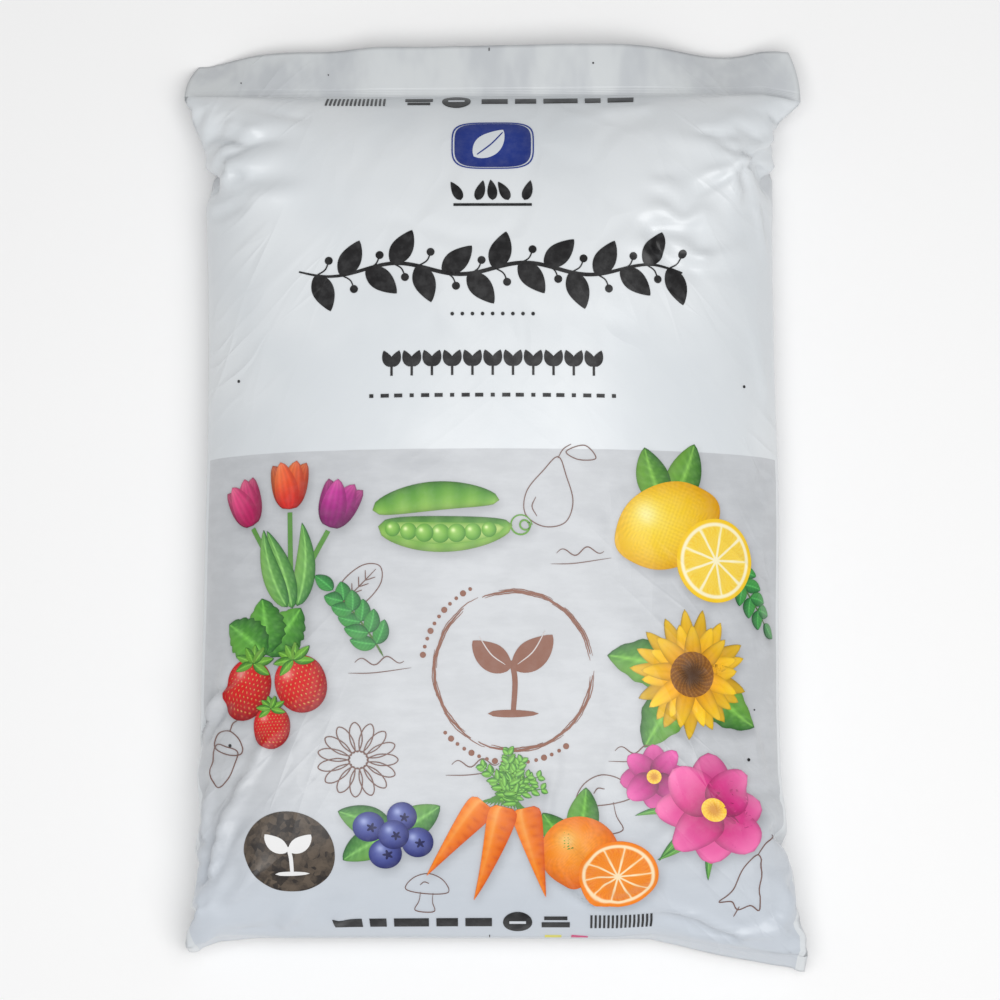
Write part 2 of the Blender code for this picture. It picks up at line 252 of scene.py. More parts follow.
# Folds pressed in along lines on the film, in metres across and along: the faint end, the strong end,
# half breadth and height. Each has a fainter dip on one side. The lines were chosen on the photo, their
# photo places turned into these film places, and some groups' heights raised. A helper script turned their
# photo places into these film places and raised some groups' heights.
foldLines = (
    # the star in the top right corner
    (0.1870, 0.2440, 0.1646, 0.2189, 0.0030, 0.0044),
    (0.1920, 0.2390, 0.1621, 0.2139, 0.0040, -0.0040),
    (0.1247, 0.1989, 0.1546, 0.2114, 0.0030, 0.0032),
    (0.1421, 0.2164, 0.1546, 0.2114, 0.0030, 0.0026),
    (0.1396, 0.2265, 0.1521, 0.2139, 0.0042, -0.0022),
    (0.1945, 0.2189, 0.1795, 0.2139, 0.0040, -0.0018),
    (0.1247, 0.1839, 0.1471, 0.2014, 0.0028, 0.0022),
    (0.1197, 0.1839, 0.1421, 0.1989, 0.0036, -0.0018),
    (0.1446, 0.1814, 0.1471, 0.1964, 0.0060, 0.0030),
    (0.1546, 0.1864, 0.1471, 0.1989, 0.0036, 0.0024),
    # the loops below the star
    (0.1197, 0.1864, 0.0997, 0.1939, 0.0050, 0.0020),
    (0.1371, 0.1789, 0.1197, 0.1714, 0.0050, 0.0030),
    (0.0898, 0.1814, 0.1097, 0.1714, 0.0052, 0.0034),
    (0.1272, 0.1664, 0.0997, 0.1664, 0.0050, -0.0024),
    (0.0923, 0.1689, 0.1022, 0.1539, 0.0045, -0.0030),
    (0.1122, 0.1439, 0.0997, 0.1539, 0.0050, -0.0026),
    (0.1022, 0.1564, 0.1272, 0.1489, 0.0052, 0.0030),
    (0.1596, 0.1564, 0.1297, 0.1489, 0.0050, 0.0030),
    (0.1596, 0.1489, 0.1222, 0.1439, 0.0055, -0.0018),
    (0.1820, 0.1564, 0.1721, 0.1814, 0.0040, 0.0022),
    # across the top
    (0.1621, 0.2290, 0.1347, 0.2290, 0.0035, -0.0018),
    (0.1845, 0.2515, 0.1596, 0.2440, 0.0060, 0.0016),
    (0.0948, 0.2290, 0.1347, 0.2215, 0.0070, 0.0014),
    (0.0424, 0.2440, 0.0948, 0.2515, 0.0050, 0.0012),
    # the top left corner
    (-0.1795, 0.2215, -0.1571, 0.2240, 0.0034, 0.0034),
    (-0.1297, 0.2265, -0.1571, 0.2240, 0.0036, -0.0025),
    (-0.1870, 0.2440, -0.1571, 0.2265, 0.0034, -0.0025),
    (-0.1845, 0.2515, -0.1496, 0.2340, 0.0045, 0.0022),
    (-0.1197, 0.2014, -0.1571, 0.2039, 0.0050, -0.0020),
    (-0.1795, 0.2189, -0.1546, 0.2039, 0.0034, -0.0020),
    (-0.1471, 0.1864, -0.1945, 0.2039, 0.0055, -0.0031),
    (-0.1122, 0.1889, -0.1521, 0.1889, 0.0050, 0.0020),
    (-0.1596, 0.2590, -0.1197, 0.2440, 0.0050, -0.0016),
    # the left side
    (-0.1546, -0.0813, -0.1721, -0.1264, 0.0050, 0.0030),
    (-0.1471, -0.1038, -0.1920, -0.1389, 0.0032, 0.0049),
    (-0.1546, -0.1114, -0.1770, -0.1364, 0.0036, -0.0030),
    (-0.1222, -0.1339, -0.1471, -0.1714, 0.0034, 0.0046),
    (-0.1172, -0.1364, -0.1371, -0.1589, 0.0040, -0.0027),
    (-0.1471, -0.1714, -0.1696, -0.2189, 0.0036, 0.0046),
    (-0.1671, -0.1539, -0.1770, -0.1964, 0.0036, 0.0041),
    (-0.1396, -0.1764, -0.1646, -0.2164, 0.0045, -0.0032),
    (-0.1646, -0.2039, -0.1795, -0.2215, 0.0045, -0.0041),
    (-0.1322, -0.2114, -0.1521, -0.2340, 0.0045, 0.0030),
    (-0.1521, -0.2340, -0.1721, -0.2390, 0.0045, -0.0024),
    (-0.1072, -0.2365, -0.1272, -0.2590, 0.0042, 0.0030),
    (-0.1147, -0.2565, -0.1546, -0.2640, 0.0050, -0.0022),
    (-0.0773, -0.2365, -0.0923, -0.2540, 0.0042, 0.0019),
    (-0.1471, -0.2415, -0.1820, -0.2665, 0.0050, 0.0027),
    # the bottom edge and its right corner
    (0.0399, -0.2189, 0.0598, -0.2415, 0.0030, 0.0029),
    (0.0449, -0.2189, 0.0623, -0.2365, 0.0030, -0.0021),
    (0.0499, -0.1889, 0.0574, -0.2139, 0.0040, 0.0018),
    (0.0598, -0.2164, 0.0698, -0.2390, 0.0042, -0.0026),
    (0.0997, -0.2265, 0.0798, -0.2390, 0.0048, -0.0023),
    (0.0948, -0.2465, 0.1197, -0.2490, 0.0036, 0.0029),
    (0.1197, -0.2490, 0.1496, -0.2590, 0.0036, 0.0034),
    (0.1770, -0.2515, 0.1521, -0.2590, 0.0036, 0.0026),
    (0.0973, -0.2540, 0.1496, -0.2665, 0.0048, -0.0029),
    (0.1297, -0.2665, 0.1870, -0.2715, 0.0046, 0.0026),
    (0.1646, -0.2164, 0.1770, -0.2415, 0.0050, 0.0021),
    # faint long folds on the right side
    (0.1646, 0.1239, 0.1770, 0.0763, 0.0060, 0.0014),
    (0.1521, -0.0088, 0.1770, 0.0213, 0.0050, -0.0014),
    (0.1696, -0.0813, 0.1621, -0.0338, 0.0060, 0.0014),
    (0.1721, -0.1714, 0.1596, -0.1339, 0.0050, 0.0017),
    (0.0050, -0.0363, -0.0424, 0.0163, 0.0120, 0.0010),
    (-0.0948, -0.0363, -0.1147, 0.0188, 0.0120, 0.0010),
)

# How far each flap points below level, in degrees, from left to right
flapDroops = {
    1: ((-1.0, 46), (-0.93, 46), (-0.85, 34), (-0.78, 25), (-0.66, 20), (-0.5, 16), (-0.38, 11), (-0.05, 8),
        (0.05, 3), (0.4, 5), (0.5, 14), (0.6, 22), (0.72, 31), (0.8, 34), (0.87, 27), (0.94, 17), (1.0, 12)),
    -1: ((-1.0, 82), (-0.9, 80), (-0.75, 86), (0.4, 85), (0.6, 76), (0.85, 71), (1.0, 66)),
}
flapShape = dict(curl=8, taperLeft=0.0072, taperRight=0.0070, cornerShare=0.10)

# Corrections to the filled shape, in metres: sideways at stations along the bag, and along it at both welds
sideTrim = (
    # along, left side outwards, right side outwards
    (-0.262, -0.0110, -0.0052), (-0.257, -0.0093, -0.0044), (-0.252, -0.0057, -0.0032), (-0.247, 0.0, -0.0004),
    (-0.240, 0.0060, -0.0010), (-0.233, 0.0053, 0.0016), (-0.228, 0.0030, 0.0040), (-0.218, 0.0024, 0.0046),
    (-0.208, 0.0047, 0.0062), (-0.203, 0.0059, 0.0076), (-0.191, 0.0061, 0.0098), (-0.170, 0.0070, 0.0046),
    (-0.155, 0.0092, 0.0030), (-0.118, 0.0074, 0.0014), (-0.055, 0.0044, 0.0012), (-0.006, 0.0030, 0.0016),
    (0.030, 0.0018, 0.0009), (0.068, 0.0010, -0.0007), (0.100, 0.0004, -0.0016), (0.150, 0.0006, -0.0025),
    (0.178, 0.0014, -0.0021), (0.191, 0.0029, -0.0011), (0.201, 0.0014, -0.0004), (0.211, 0.0030, 0.0016),
    (0.216, 0.0016, 0.0012), (0.224, -0.0026, -0.0042), (0.236, -0.0018, -0.0080), (0.248, -0.0003, -0.0104),
    (0.255, -0.0020, -0.0070), (0.260, -0.0040, -0.0050),
)
weldTrim = {
    # across, further along
    1: ((-1.0, 0.0), (-0.5, -0.0012), (0.3, -0.0002), (0.88, 0.0012), (1.0, -0.0036)),
    -1: ((-1.0, -0.0058), (-0.9, 0.0006), (-0.8, 0.0010), (-0.7, 0.0002), (0.38, 0.0), (0.5, 0.0018),
         (0.6, -0.0004), (0.72, -0.0046), (0.9, -0.0090), (1.0, -0.0096)),
}
lengthShare = 1.006


# 0 below 0, 1 above 1, and 3x^2 - 2x^3 between them.
def smoothStep(value):
    share = np.clip(value, 0, 1)
    return share * share * (3 - 2 * share)


# Unit normals of a grid: along one way crossed with along the other.
def surfaceNormals(points):
    normals = np.cross(np.gradient(points, axis=0), np.gradient(points, axis=1))
    return normals / np.linalg.norm(normals, axis=-1, keepdims=True)


# Push the sheet along its normals: each fold is a bell across its line, growing along it, with a dip aside.
def pressFolds(points):
    columns, rows = points.shape[:2]
    x, y = np.meshgrid(np.linspace(-1, 1, columns) * filmTube["width"] / 2,
                       np.linspace(-1, 1, rows) * filmTube["length"] / 2, indexing="ij")
    rise = np.zeros_like(x)
    for startX, startY, endX, endY, breadth, height in foldLines:
        runX, runY = endX - startX, endY - startY
        run = math.hypot(runX, runY)
        alongRun = ((x - startX) * runX + (y - startY) * runY) / run
        share = np.clip(alongRun / run, 0, 1)
        wobble = 0.0011 * np.sin(alongRun * 130 + 70 * startX) * smoothStep(share * (1 - share) * 4)
        aside = ((x - startX) * runY - (y - startY) * runX) / run + wobble
        past = np.maximum(alongRun - run, 0)
        grown = smoothStep((alongRun + 0.3 * run) / (0.9 * run)) * np.exp(-(past / (1.3 * breadth)) ** 2)
        spread = breadth * (1.45 - 0.6 * share)
        bell = np.exp(-(aside / spread) ** 2) - 0.45 * np.exp(-((aside - 1.8 * spread) / (1.4 * spread)) ** 2)
        rise += height * bell * grown
    edge = np.minimum(1 - np.abs(x) * 2 / filmTube["width"], (1 - np.abs(y) * 2 / filmTube["length"]) * 1.4)
    return points + surfaceNormals(points) * (rise * smoothStep(edge / 0.03))[..., None]


# A sheet with both sides moved by the table, more the farther out a point lies, and its ends by theirs.
def trimmed(points):
    x, y = points[..., 0], points[..., 1] * lengthShare
    along, left, right = np.array(sideTrim).T
    outward = np.where(x < 0, np.interp(y, along, left), np.interp(y, along, right))
    x = x + np.sign(x) * outward * smoothStep((np.abs(x) - 0.05) / 0.11)
    half = filmTube["length"] / 2
    share = np.linspace(-1, 1, points.shape[1])[None]
    across = np.linspace(-1, 1, points.shape[0])
    for end, table in weldTrim.items():
        station, move = np.array(table).T
        near = np.clip((share * end - 1) * half / 0.085 + 1, 0, 1) ** 1.6
        y = y + np.interp(across, station, move)[:, None] * near
    return np.stack((x, y, points[..., 2]), -1)


# A flap's rows beyond its weld: each column runs on at its own angle below level, which grows with the
# curl.
def flapRows(seam, end):
    length = filmTube["topFlap"] if end > 0 else filmTube["bottomFlap"]
    count = round(length / filmTube["cell"])
    s = np.linspace(-1, 1, len(seam))
    stations, degrees = zip(*flapDroops[end])
    droop = np.interp(s, stations, degrees)
    soft = np.hanning(13)
    droop = np.convolve(np.pad(droop, 6, mode="edge"), soft / soft.sum(), mode="valid")
    droop = droop + (1.6 * np.sin(9 * s + 1) + 1.0 * np.sin(21 * s)) * (end > 0)
    rows = []
    point = seam.copy()
    for row in range(count):
        angle = np.radians(droop + (flapShape["curl"] * row / count if end > 0 else 0))
        stepLength = length / count
        corner = smoothStep((np.abs(s) - 1 + flapShape["cornerShare"]) / flapShape["cornerShare"])
        point = point + np.stack((
            -np.sign(s) * np.where(s < 0, flapShape["taperLeft"], flapShape["taperRight"]) * corner * 2 * row
            / count ** 2 * (end > 0),
            end * np.cos(angle) * stepLength, -np.sin(angle) * stepLength), axis=-1)
        rows.append(point)
    return rows


# Front and back sheets with their flaps, set in the frame's box.
def finishedSheets():
    front, back = pressFolds(trimmed(frontBody)), trimmed(backBody)
    for end in (-1, 1):
        seam = front[:, -1 if end > 0 else 0]
        rows = np.stack(flapRows(seam, end), axis=1)
        if end > 0:
            front = np.concatenate((front, rows), axis=1)
            back = np.concatenate((back, rows), axis=1)
        else:
            front = np.concatenate((rows[:, ::-1], front), axis=1)
            back = np.concatenate((rows[:, ::-1], back), axis=1)
    low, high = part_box("soil_bag")
    places = np.concatenate((front.reshape(-1, 3), back.reshape(-1, 3)))
    middle = (places.min(0) + places.max(0)) / 2
    shift = np.array(((low[0] + high[0]) / 2 - middle[0], (low[1] + high[1]) / 2 - middle[1], 0))
    return front + shift, back + shift


frontMiddle, backMiddle = finishedSheets()
bottomRows = round(filmTube["bottomFlap"] / filmTube["cell"])
topRows = round(filmTube["topFlap"] / filmTube["cell"])
columnCount, rowCount = frontMiddle.shape[:2]
frontNormals = surfaceNormals(frontMiddle)
acrossStep = filmTube["width"] / (columnCount - 1)
alongStep = filmTube["length"] / (rowCount - 1 - bottomRows - topRows)


# Half the distance between the layers: nothing at the side folds' body, half a pair along the welds and
# flaps.
def halfGap():
    row = np.arange(rowCount)
    return np.full(rowCount, filmTube["pair"] / 2) * ((row <= bottomRows) | (row >= rowCount - 1 - topRows))


frontGrid = frontMiddle + frontNormals * halfGap()[None, :, None]
backGrid = backMiddle - frontNormals * halfGap()[None, :, None]
print("film sheets", frontGrid.shape, "lowest", round(float(backGrid[..., 2].min()), 5))


# A mesh object of the given points and faces, at the origin.
def meshObject(name, points, faces, smooth=True):
    mesh = bpy.data.meshes.new(name)
    mesh.from_pydata(points, [], faces)
    mesh.update()
    if smooth:
        mesh.shade_smooth()
    made = bpy.data.objects.new(name, mesh)
    bpy.context.scene.collection.objects.link(made)
    return made


# Four-cornered faces of a grid of point numbers, facing the side where the first way crossed with the
# second points.
def gridFaces(index):
    corners = (index[:-1, :-1], index[1:, :-1], index[1:, 1:], index[:-1, 1:])
    return np.stack([corner.ravel() for corner in corners], axis=1)


# Point numbers once round a grid's rim, in the order that its faces turn.
def rimLoop(index):
    return np.concatenate((index[:-1, 0], index[-1, :-1], index[:0:-1, -1], index[0, :0:-1]))


# The bag's film: both sheets, closed along the side folds and round the flaps' free edges.
def makeFilm():
    front = np.arange(columnCount * rowCount).reshape(columnCount, rowCount)
    back = front + columnCount * rowCount
    bodyRows = slice(bottomRows + 1, rowCount - 1 - topRows)
    back[0, bodyRows] = front[0, bodyRows]
    back[-1, bodyRows] = front[-1, bodyRows]
    frontLoop, backLoop = rimLoop(front), rimLoop(back)
    frontNext, backNext = np.roll(frontLoop, -1), np.roll(backLoop, -1)
    rim = np.stack((frontNext, frontLoop, backLoop, backNext), axis=1)
    apart = (frontLoop != backLoop) & (frontNext != backNext)
    oneApart = (frontLoop != backLoop) ^ (frontNext != backNext)
    quads = np.concatenate((gridFaces(front), gridFaces(back)[:, ::-1], rim[apart]))
    corners = [[a, b, c] if c == d else [a, b, d] if b == c else [a, b, c, d]
               for a, b, c, d in rim[oneApart].tolist()]
    faces = quads.tolist() + corners
    points = np.concatenate((frontGrid.reshape(-1, 3), backGrid.reshape(-1, 3)))
    used = np.unique(np.concatenate([quads.ravel(), np.array(sum(corners, []), dtype=int)]))
    number = np.full(len(points), -1)
    number[used] = np.arange(len(used))
    faces = [number[face].tolist() for face in faces]
    film = meshObject("bag_film", points[used], faces)

    # Film coordinates in metres, front and back side by side in one map
    s, t = np.meshgrid(np.arange(columnCount) * acrossStep - filmTube["width"] / 2,
                       (np.arange(rowCount) - bottomRows) * alongStep - filmTube["length"] / 2, indexing="ij")
    flat = np.stack((s.ravel(), t.ravel()), axis=1)
    place = np.concatenate((flat, flat))[used]
    onBack = np.concatenate((np.zeros(len(flat)), np.ones(len(flat))))[used]
    film.data.attributes.new("film_back", "FLOAT",
                             "POINT").data.foreach_set("value", onBack.astype(np.float32))
    corner = np.empty(len(film.data.loops), dtype=np.int32)
    film.data.loops.foreach_get("vertex_index", corner)
    uv = film.data.uv_layers.new(name="film")
    uv.uv.foreach_set("vector", place[corner].astype(np.float32).ravel())
    return film


bagFilm = makeFilm()
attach(bagFilm, "root")
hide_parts("soil_bag")
print("film mesh", len(bagFilm.data.vertices), "points")


# A colour from 0 to 255 as seen, in linear light.
def srgb(red, green, blue):
    seen = np.array((red, green, blue)) / 255
    return tuple(np.where(seen <= 0.04045, seen / 12.92, ((seen + 0.055) / 1.055) ** 2.4))


# Print. A mark is a flat grid of places, in metres, with a grid of seen colours from 0 to 255.
# Every mark is laid on the front at its own height and closed underneath, inside the film.
printLayer = dict(lift=0.00045, step=0.00006, depth=0.00035)


# From one colour to another; the share may be a grid.
def blend(one, two, share):
    share = np.clip(share, 0, 1)[..., None]
    return np.asarray(one, float) * (1 - share) + np.asarray(two, float) * share


# A soft round spot: a bell of the distance to its middle.
def glow(x, y, atX, atY, reach):
    return np.exp(-((x - atX) ** 2 + (y - atY) ** 2) / reach ** 2)


# A round mark: radius times angle, its edge at the outline's share of the size for each angle.
def disc(size, paint, outline=None, rings=18, rays=84, inner=0.0):
    r, a = np.meshgrid(np.linspace(inner, 1, rings + 1), np.linspace(0, 2 * math.pi, rays + 1), indexing="ij")
    edge = np.ones_like(a) if outline is None else outline(a)
    flat = np.stack((r * edge * np.cos(a), r * edge * np.sin(a)), -1)
    return flat * size, paint(r, a, flat[..., 0], flat[..., 1])


# A leaf or petal along +x: half width sin(pi s^a)^b times half, on a middle line that turns evenly by the
# bend.
def blade(length, half, paint, swell=(1.0, 0.8), bend=0.0, teeth=(0, 0.0), rows=16, columns=6, start=0.0):
    s, w = np.meshgrid(np.linspace(start, 1, rows + 1), np.linspace(-1, 1, columns + 1), indexing="ij")
    width = half * np.sin(math.pi * s ** swell[0]) ** swell[1]
    width = np.where(s >= 1, 0, width) * (1 + teeth[1] * np.sin(math.pi * 2 * teeth[0] * s))
    turn = bend * s
    if abs(bend) > 1e-6:
        lineX, lineY = np.sin(turn) / bend, (1 - np.cos(turn)) / bend
    else:
        lineX, lineY = s, 0 * s
    flat = np.stack((lineX * length - np.sin(turn) * w * width, lineY * length + np.cos(turn) * w * width),
                    -1)
    return flat, paint(s, w)


# A stroke along a line of places, of even half width less the taper towards both ends.
def ribbon(line, half, paint, taper=0.0, columns=3):
    line = np.asarray(line, float)
    ahead = np.gradient(line, axis=0)
    ahead /= np.linalg.norm(ahead, axis=1, keepdims=True) + 1e-12
    side = np.stack((-ahead[:, 1], ahead[:, 0]), 1)
    s = np.linspace(0, 1, len(line))
    width = half * (1 - taper * np.abs(2 * s - 1) ** 3)
    w = np.linspace(-1, 1, columns)
    flat = line[:, None] + side[:, None] * (w[None, :] * width[:, None])[..., None]
    return flat, paint(np.repeat(s[:, None], columns, 1), np.repeat(w[None], len(line), 0))


# A smooth line through a few points: cubic pieces, each point's direction from its two neighbours.
def curve(points, count=24, closed=False):
    points = np.asarray(points, float)
    if closed:
        points = np.concatenate((points[-1:], points, points[:2]))
    else:
        points = np.concatenate((2 * points[:1] - points[1:2], points, 2 * points[-1:] - points[-2:-1]))
    place = np.linspace(1, len(points) - 2, count)
    start = np.minimum(place.astype(int), len(points) - 3)
    share = (place - start)[:, None]
    p0, p1, p2, p3 = (points[start + k] for k in (-1, 0, 1, 2))
    return 0.5 * (2 * p1 + (p2 - p0) * share + (2 * p0 - 5 * p1 + 4 * p2 - p3) * share ** 2
                  + (3 * p1 - p0 - 3 * p2 + p3) * share ** 3)


# A paint of one colour all over.
def plain(*colour):
    return lambda s, w, *rest: np.broadcast_to(np.asarray(colour, float), s.shape + (3,)).copy()


# A mark turned by degrees, scaled and shifted, with its layer.
def moved(mark, turn=0.0, at=(0, 0), size=1.0, layer=0):
    flat, colours = mark[:2]
    c, s = math.cos(math.radians(turn)), math.sin(math.radians(turn))
    flat = flat * size
    flat = np.stack((flat[..., 0] * c - flat[..., 1] * s + at[0],
                     flat[..., 0] * s + flat[..., 1] * c + at[1]), -1)
    return flat, colours, layer + (mark[2] if len(mark) > 2 else 0)


# Several marks moved as one.
def group(marks, turn=0.0, at=(0, 0), size=1.0, layer=0):
    return [moved(mark, turn, at, size, layer) for mark in marks]


# Leaf colours: light and dark halves, a pale midrib and slanting side veins.
def leafPaint(dark, light, veins=7):
    def paint(s, w):
        tone = blend(dark, light, 0.5 + 0.35 * w + 0.25 * np.sin(3 * s))
        rib = np.exp(-(w / 0.10) ** 2)
        vein = np.exp(-((((s * veins - 1.2 * np.abs(w)) % 1)
                         - 0.5) / 0.16) ** 2) * 0.35 * (1 - np.abs(w) ** 3)
        edge = np.abs(w) ** 4 * 0.35
        tone = blend(tone, np.asarray(light) * 1.12 + 18, rib * 0.7 + vein)
        return tone * (1 - edge[..., None] * 0.5)
    return paint


# One leaf along +x.
def leaf(length, half, dark, light, bend=0.2, teeth=(0, 0), swell=(0.85, 0.75), rows=22, columns=10):
    return blade(length, half, leafPaint(dark, light), swell, bend, teeth, rows, columns)


# Colours of a round fruit: darker towards the lower right rim, with a soft shine at the upper left.
def ball(base, dark, shine, glossy=0.8, dots=0):
    def paint(r, a, x, y):
        shade = np.clip(0.55 * r ** 3 + 0.35 * (x - y) * 0.5 + 0.1, 0, 1)
        tone = blend(base, dark, shade)
        tone = blend(tone, shine, glossy * glow(x, y, -0.32, 0.38, 0.26) + 0.25 * glow(x, y, -0.1, 0.1, 0.6))
        if dots:
            tone = tone * (1 - 0.05 * np.sin(dots * x) * np.sin(dots * y))[..., None]
        return tone
    return paint


# A cut citrus fruit: rind, pith, and wedges of pulp between pale skins.
def citrusSlice(size, rind, pith, pulp, deep, cells=10):
    def paint(r, a, x, y):
        wedge = np.abs((a * cells / (2 * math.pi)) % 1 - 0.5) * 2
        skin = smoothStep((wedge - 1 + 0.10 / np.maximum(r, 0.08)) / (0.05 / np.maximum(r, 0.08)))
        crossing = np.sin(a * cells * 5 + 5 * np.sin(r * 11)) * np.cos(r * 23 + 2 * np.sin(a * cells))
        streak = 0.5 + 0.5 * crossing
        tone = blend(pulp, deep, 0.75 * streak * smoothStep((1.0 - wedge) * 2.5) * (0.4 + 0.6 * r))
        tone = blend(tone, pith, skin)
        tone = blend(tone, pith, smoothStep((r - 0.80) / 0.05))
        tone = blend(tone, pith, 1 - smoothStep((r - 0.06) / 0.05))
        return blend(tone, rind, smoothStep((r - 0.895) / 0.035))
    return disc(size, paint, rings=26, rays=140)


# A strawberry pointing down, with pips in staggered rows and a green calyx.
def strawberry(size):
    def outline(a):
        down = (1 - np.sin(a)) / 2
        notch = 0.10 * np.exp(-((a - math.pi / 2) / 0.35) ** 2)
        return 0.86 + 0.30 * down ** 3 - notch - 0.10 * np.cos(a) ** 2 * down

    def paint(r, a, x, y):
        tone = blend((226, 28, 30), (150, 6, 18), np.clip(0.7 * r ** 3 + 0.25 * (x - y), 0, 1))
        row = y * 6.5
        across = x * 6.5 + 0.5 * (np.floor(row) % 2)
        pip = np.exp(-(((across % 1) - 0.5) ** 2 / 0.018 + ((row % 1) - 0.5) ** 2 / 0.045))
        ring = np.exp(-((np.hypot(((across % 1) - 0.5) * 1.2, (row % 1) - 0.5) - 0.27) / 0.10) ** 2)
        tone = tone * (1 - 0.18 * ring)[..., None]
        tone = blend(tone, (247, 214, 120), pip * (1 - r ** 8))
        return blend(tone, (255, 190, 180), 0.75 * glow(x, y, -0.34, 0.30, 0.20))

    marks = [moved(disc(size, paint, outline, rings=30, rays=110), layer=0)]
    for turn in (20, 62, 96, 130, 168, 208, 336):
        length = size * (0.62 if 40 < turn < 150 else 0.72)
        marks.append(moved(leaf(length, size * 0.15, (30, 92, 30), (116, 178, 60), rows=12, columns=6),
                           turn, (0, size * 0.72), layer=2))
    marks.append(moved(ribbon(curve(((0, size * 0.74), (size * 0.05, size), (size * 0.22, size * 1.28)), 10),
                              size * 0.045, plain(110, 160, 62)), layer=3))
    return marks


# Petals all round in layers, each a little different, darker at the throat and with fine lines to the tip.
def flower(size, petals, half, base, tip, throat, swell=(1.0, 0.6), layers=2, seed=1, lines=5, spread=0.12):
    random = np.random.default_rng(seed)
    marks = []
    for layer in range(layers):
        for k in range(petals):
            tone = 1 + random.uniform(-0.07, 0.07) - 0.10 * (layers - 1 - layer)

            def paint(s, w, tone=tone):
                colour = blend(base, tip, smoothStep((s - 0.15) / 0.85))
                colour = blend(colour, throat, (1 - smoothStep(s / 0.42)) * 0.9)
                fine = 0.5 + 0.5 * np.cos(w * math.pi * lines)
                colour = colour * (tone - 0.10 * fine * (1 - s) - 0.20 * np.abs(w) ** 5)[..., None]
                return colour
            length = size * random.uniform(1 - spread, 1.0) * (1 - 0.16 * (layers > 1) * layer)
            turn = 360 * (k + 0.5 * layer) / petals + random.uniform(-5, 5)
            mark = blade(length, half * random.uniform(0.9, 1.1), paint, swell, random.uniform(-0.25, 0.25),
                         rows=16, columns=8)
            marks.append(moved(mark, turn, layer=layer * 2 + k % 2))
    return marks


# A flower's middle: small seeds in rings, brighter at the rim.
def seedHeart(size, rim, middle, bright, grain=26, layer=5):
    def paint(r, a, x, y):
        grainy = 0.5 + 0.5 * np.sin(r * grain + 0.6 * np.sin(a * 9)) * np.sin(a * grain * 0.8 + r * 9)
        tone = blend(middle, rim, smoothStep((r - 0.25) / 0.6))
        return blend(tone, bright, grainy * 0.7 * (0.3 + 0.7 * r))
    return moved(disc(size, paint, rings=18, rays=72), layer=layer)


# A whole lemon, a cut one and two leaves.
def lemons():
    def outline(a):
        return 0.80 + 0.20 * np.cos(a) ** 2 + 0.13 * np.exp(-(np.sin(a / 2) / 0.16) ** 2) \
            + 0.10 * np.exp(-(np.cos(a / 2) / 0.16) ** 2)
    whole = disc(0.031, ball((250, 208, 30), (206, 140, 8), (255, 246, 170), 0.7, 60), outline, rings=26,
                 rays=110)
    cut = citrusSlice(0.025, (250, 205, 30), (255, 246, 205), (252, 222, 84), (244, 188, 40), 9)
    green = (28, 84, 34), (112, 168, 62)
    return [moved(leaf(0.040, 0.0105, *green), 62, (-0.006, 0.014), layer=0),
            moved(leaf(0.036, 0.0100, *green, bend=-0.3), 118, (-0.010, 0.014), layer=1),
            moved(whole, 24, (-0.008, 0.002), layer=2), moved(cut, 0, (0.022, -0.018), layer=4)]


# Three strawberries and their leaves.
def strawberries():
    green = (26, 88, 36), (104, 176, 66)
    leaves = [moved(leaf(0.034, 0.0125, *green, teeth=(7, 0.08)), turn, (-0.004, 0.012), layer=k)
              for k, turn in enumerate((48, 92, 140))]
    return leaves + group(strawberry(0.0185), -14, (-0.015, -0.006), layer=3) \
        + group(strawberry(0.0170), 18, (0.017, -0.003),
                layer=8) + group(strawberry(0.0125), 4, (0.002, -0.029), layer=13)


# An open pod with its peas, a closed one behind it and a curled tendril.
def peaPods():
    def closed(s, w):
        return blend((70, 140, 40), (150, 200, 84), 0.5 - 0.45 * w + 0.15 * np.sin(s * 34)) * \
            (1 - 0.25 * np.abs(w) ** 4)[..., None]

    def inside(s, w):
        return blend((186, 214, 120), (112, 168, 58), np.abs(w) ** 2)
    marks = [moved(blade(0.076, 0.0085, closed, (0.9, 0.45), -0.55, rows=26, columns=8), 12, (-0.040, 0.010),
                   layer=0),
             moved(blade(0.080, 0.0105, closed, (0.9, 0.45), 0.50, rows=26, columns=8), -22, (-0.038, 0.000),
                   layer=2),
             moved(blade(0.070, 0.0064, inside, (0.9, 0.45), 0.44, rows=22, columns=6), -21, (-0.033, -0.001),
                   layer=3)]
    for k in range(7):
        s = 0.11 + 0.118 * k
        turn = math.radians(-22) + 0.25 * 2 * s * 0.5
        at = (-0.038 + 0.080 * s * math.cos(turn), 0.080 * s * math.sin(turn) + 0.0004)
        size = 0.0056 - 0.0002 * abs(k - 3) ** 1.6
        marks.append(moved(disc(size, ball((120, 186, 58), (58, 124, 30), (232, 250, 180), 0.8), rings=8,
                                rays=36), 0, at, layer=5))
    a = np.linspace(0, 4.6 * math.pi, 60)
    coil = np.stack((0.044 + 0.008 * np.cos(a) * np.exp(-a / 9) + a * 0.0004,
                     -0.012 + 0.008 * np.sin(a) * np.exp(-a / 9)), 1)
    marks.append(moved(ribbon(coil, 0.00055, plain(104, 160, 60), 0.5), layer=1))
    return marks


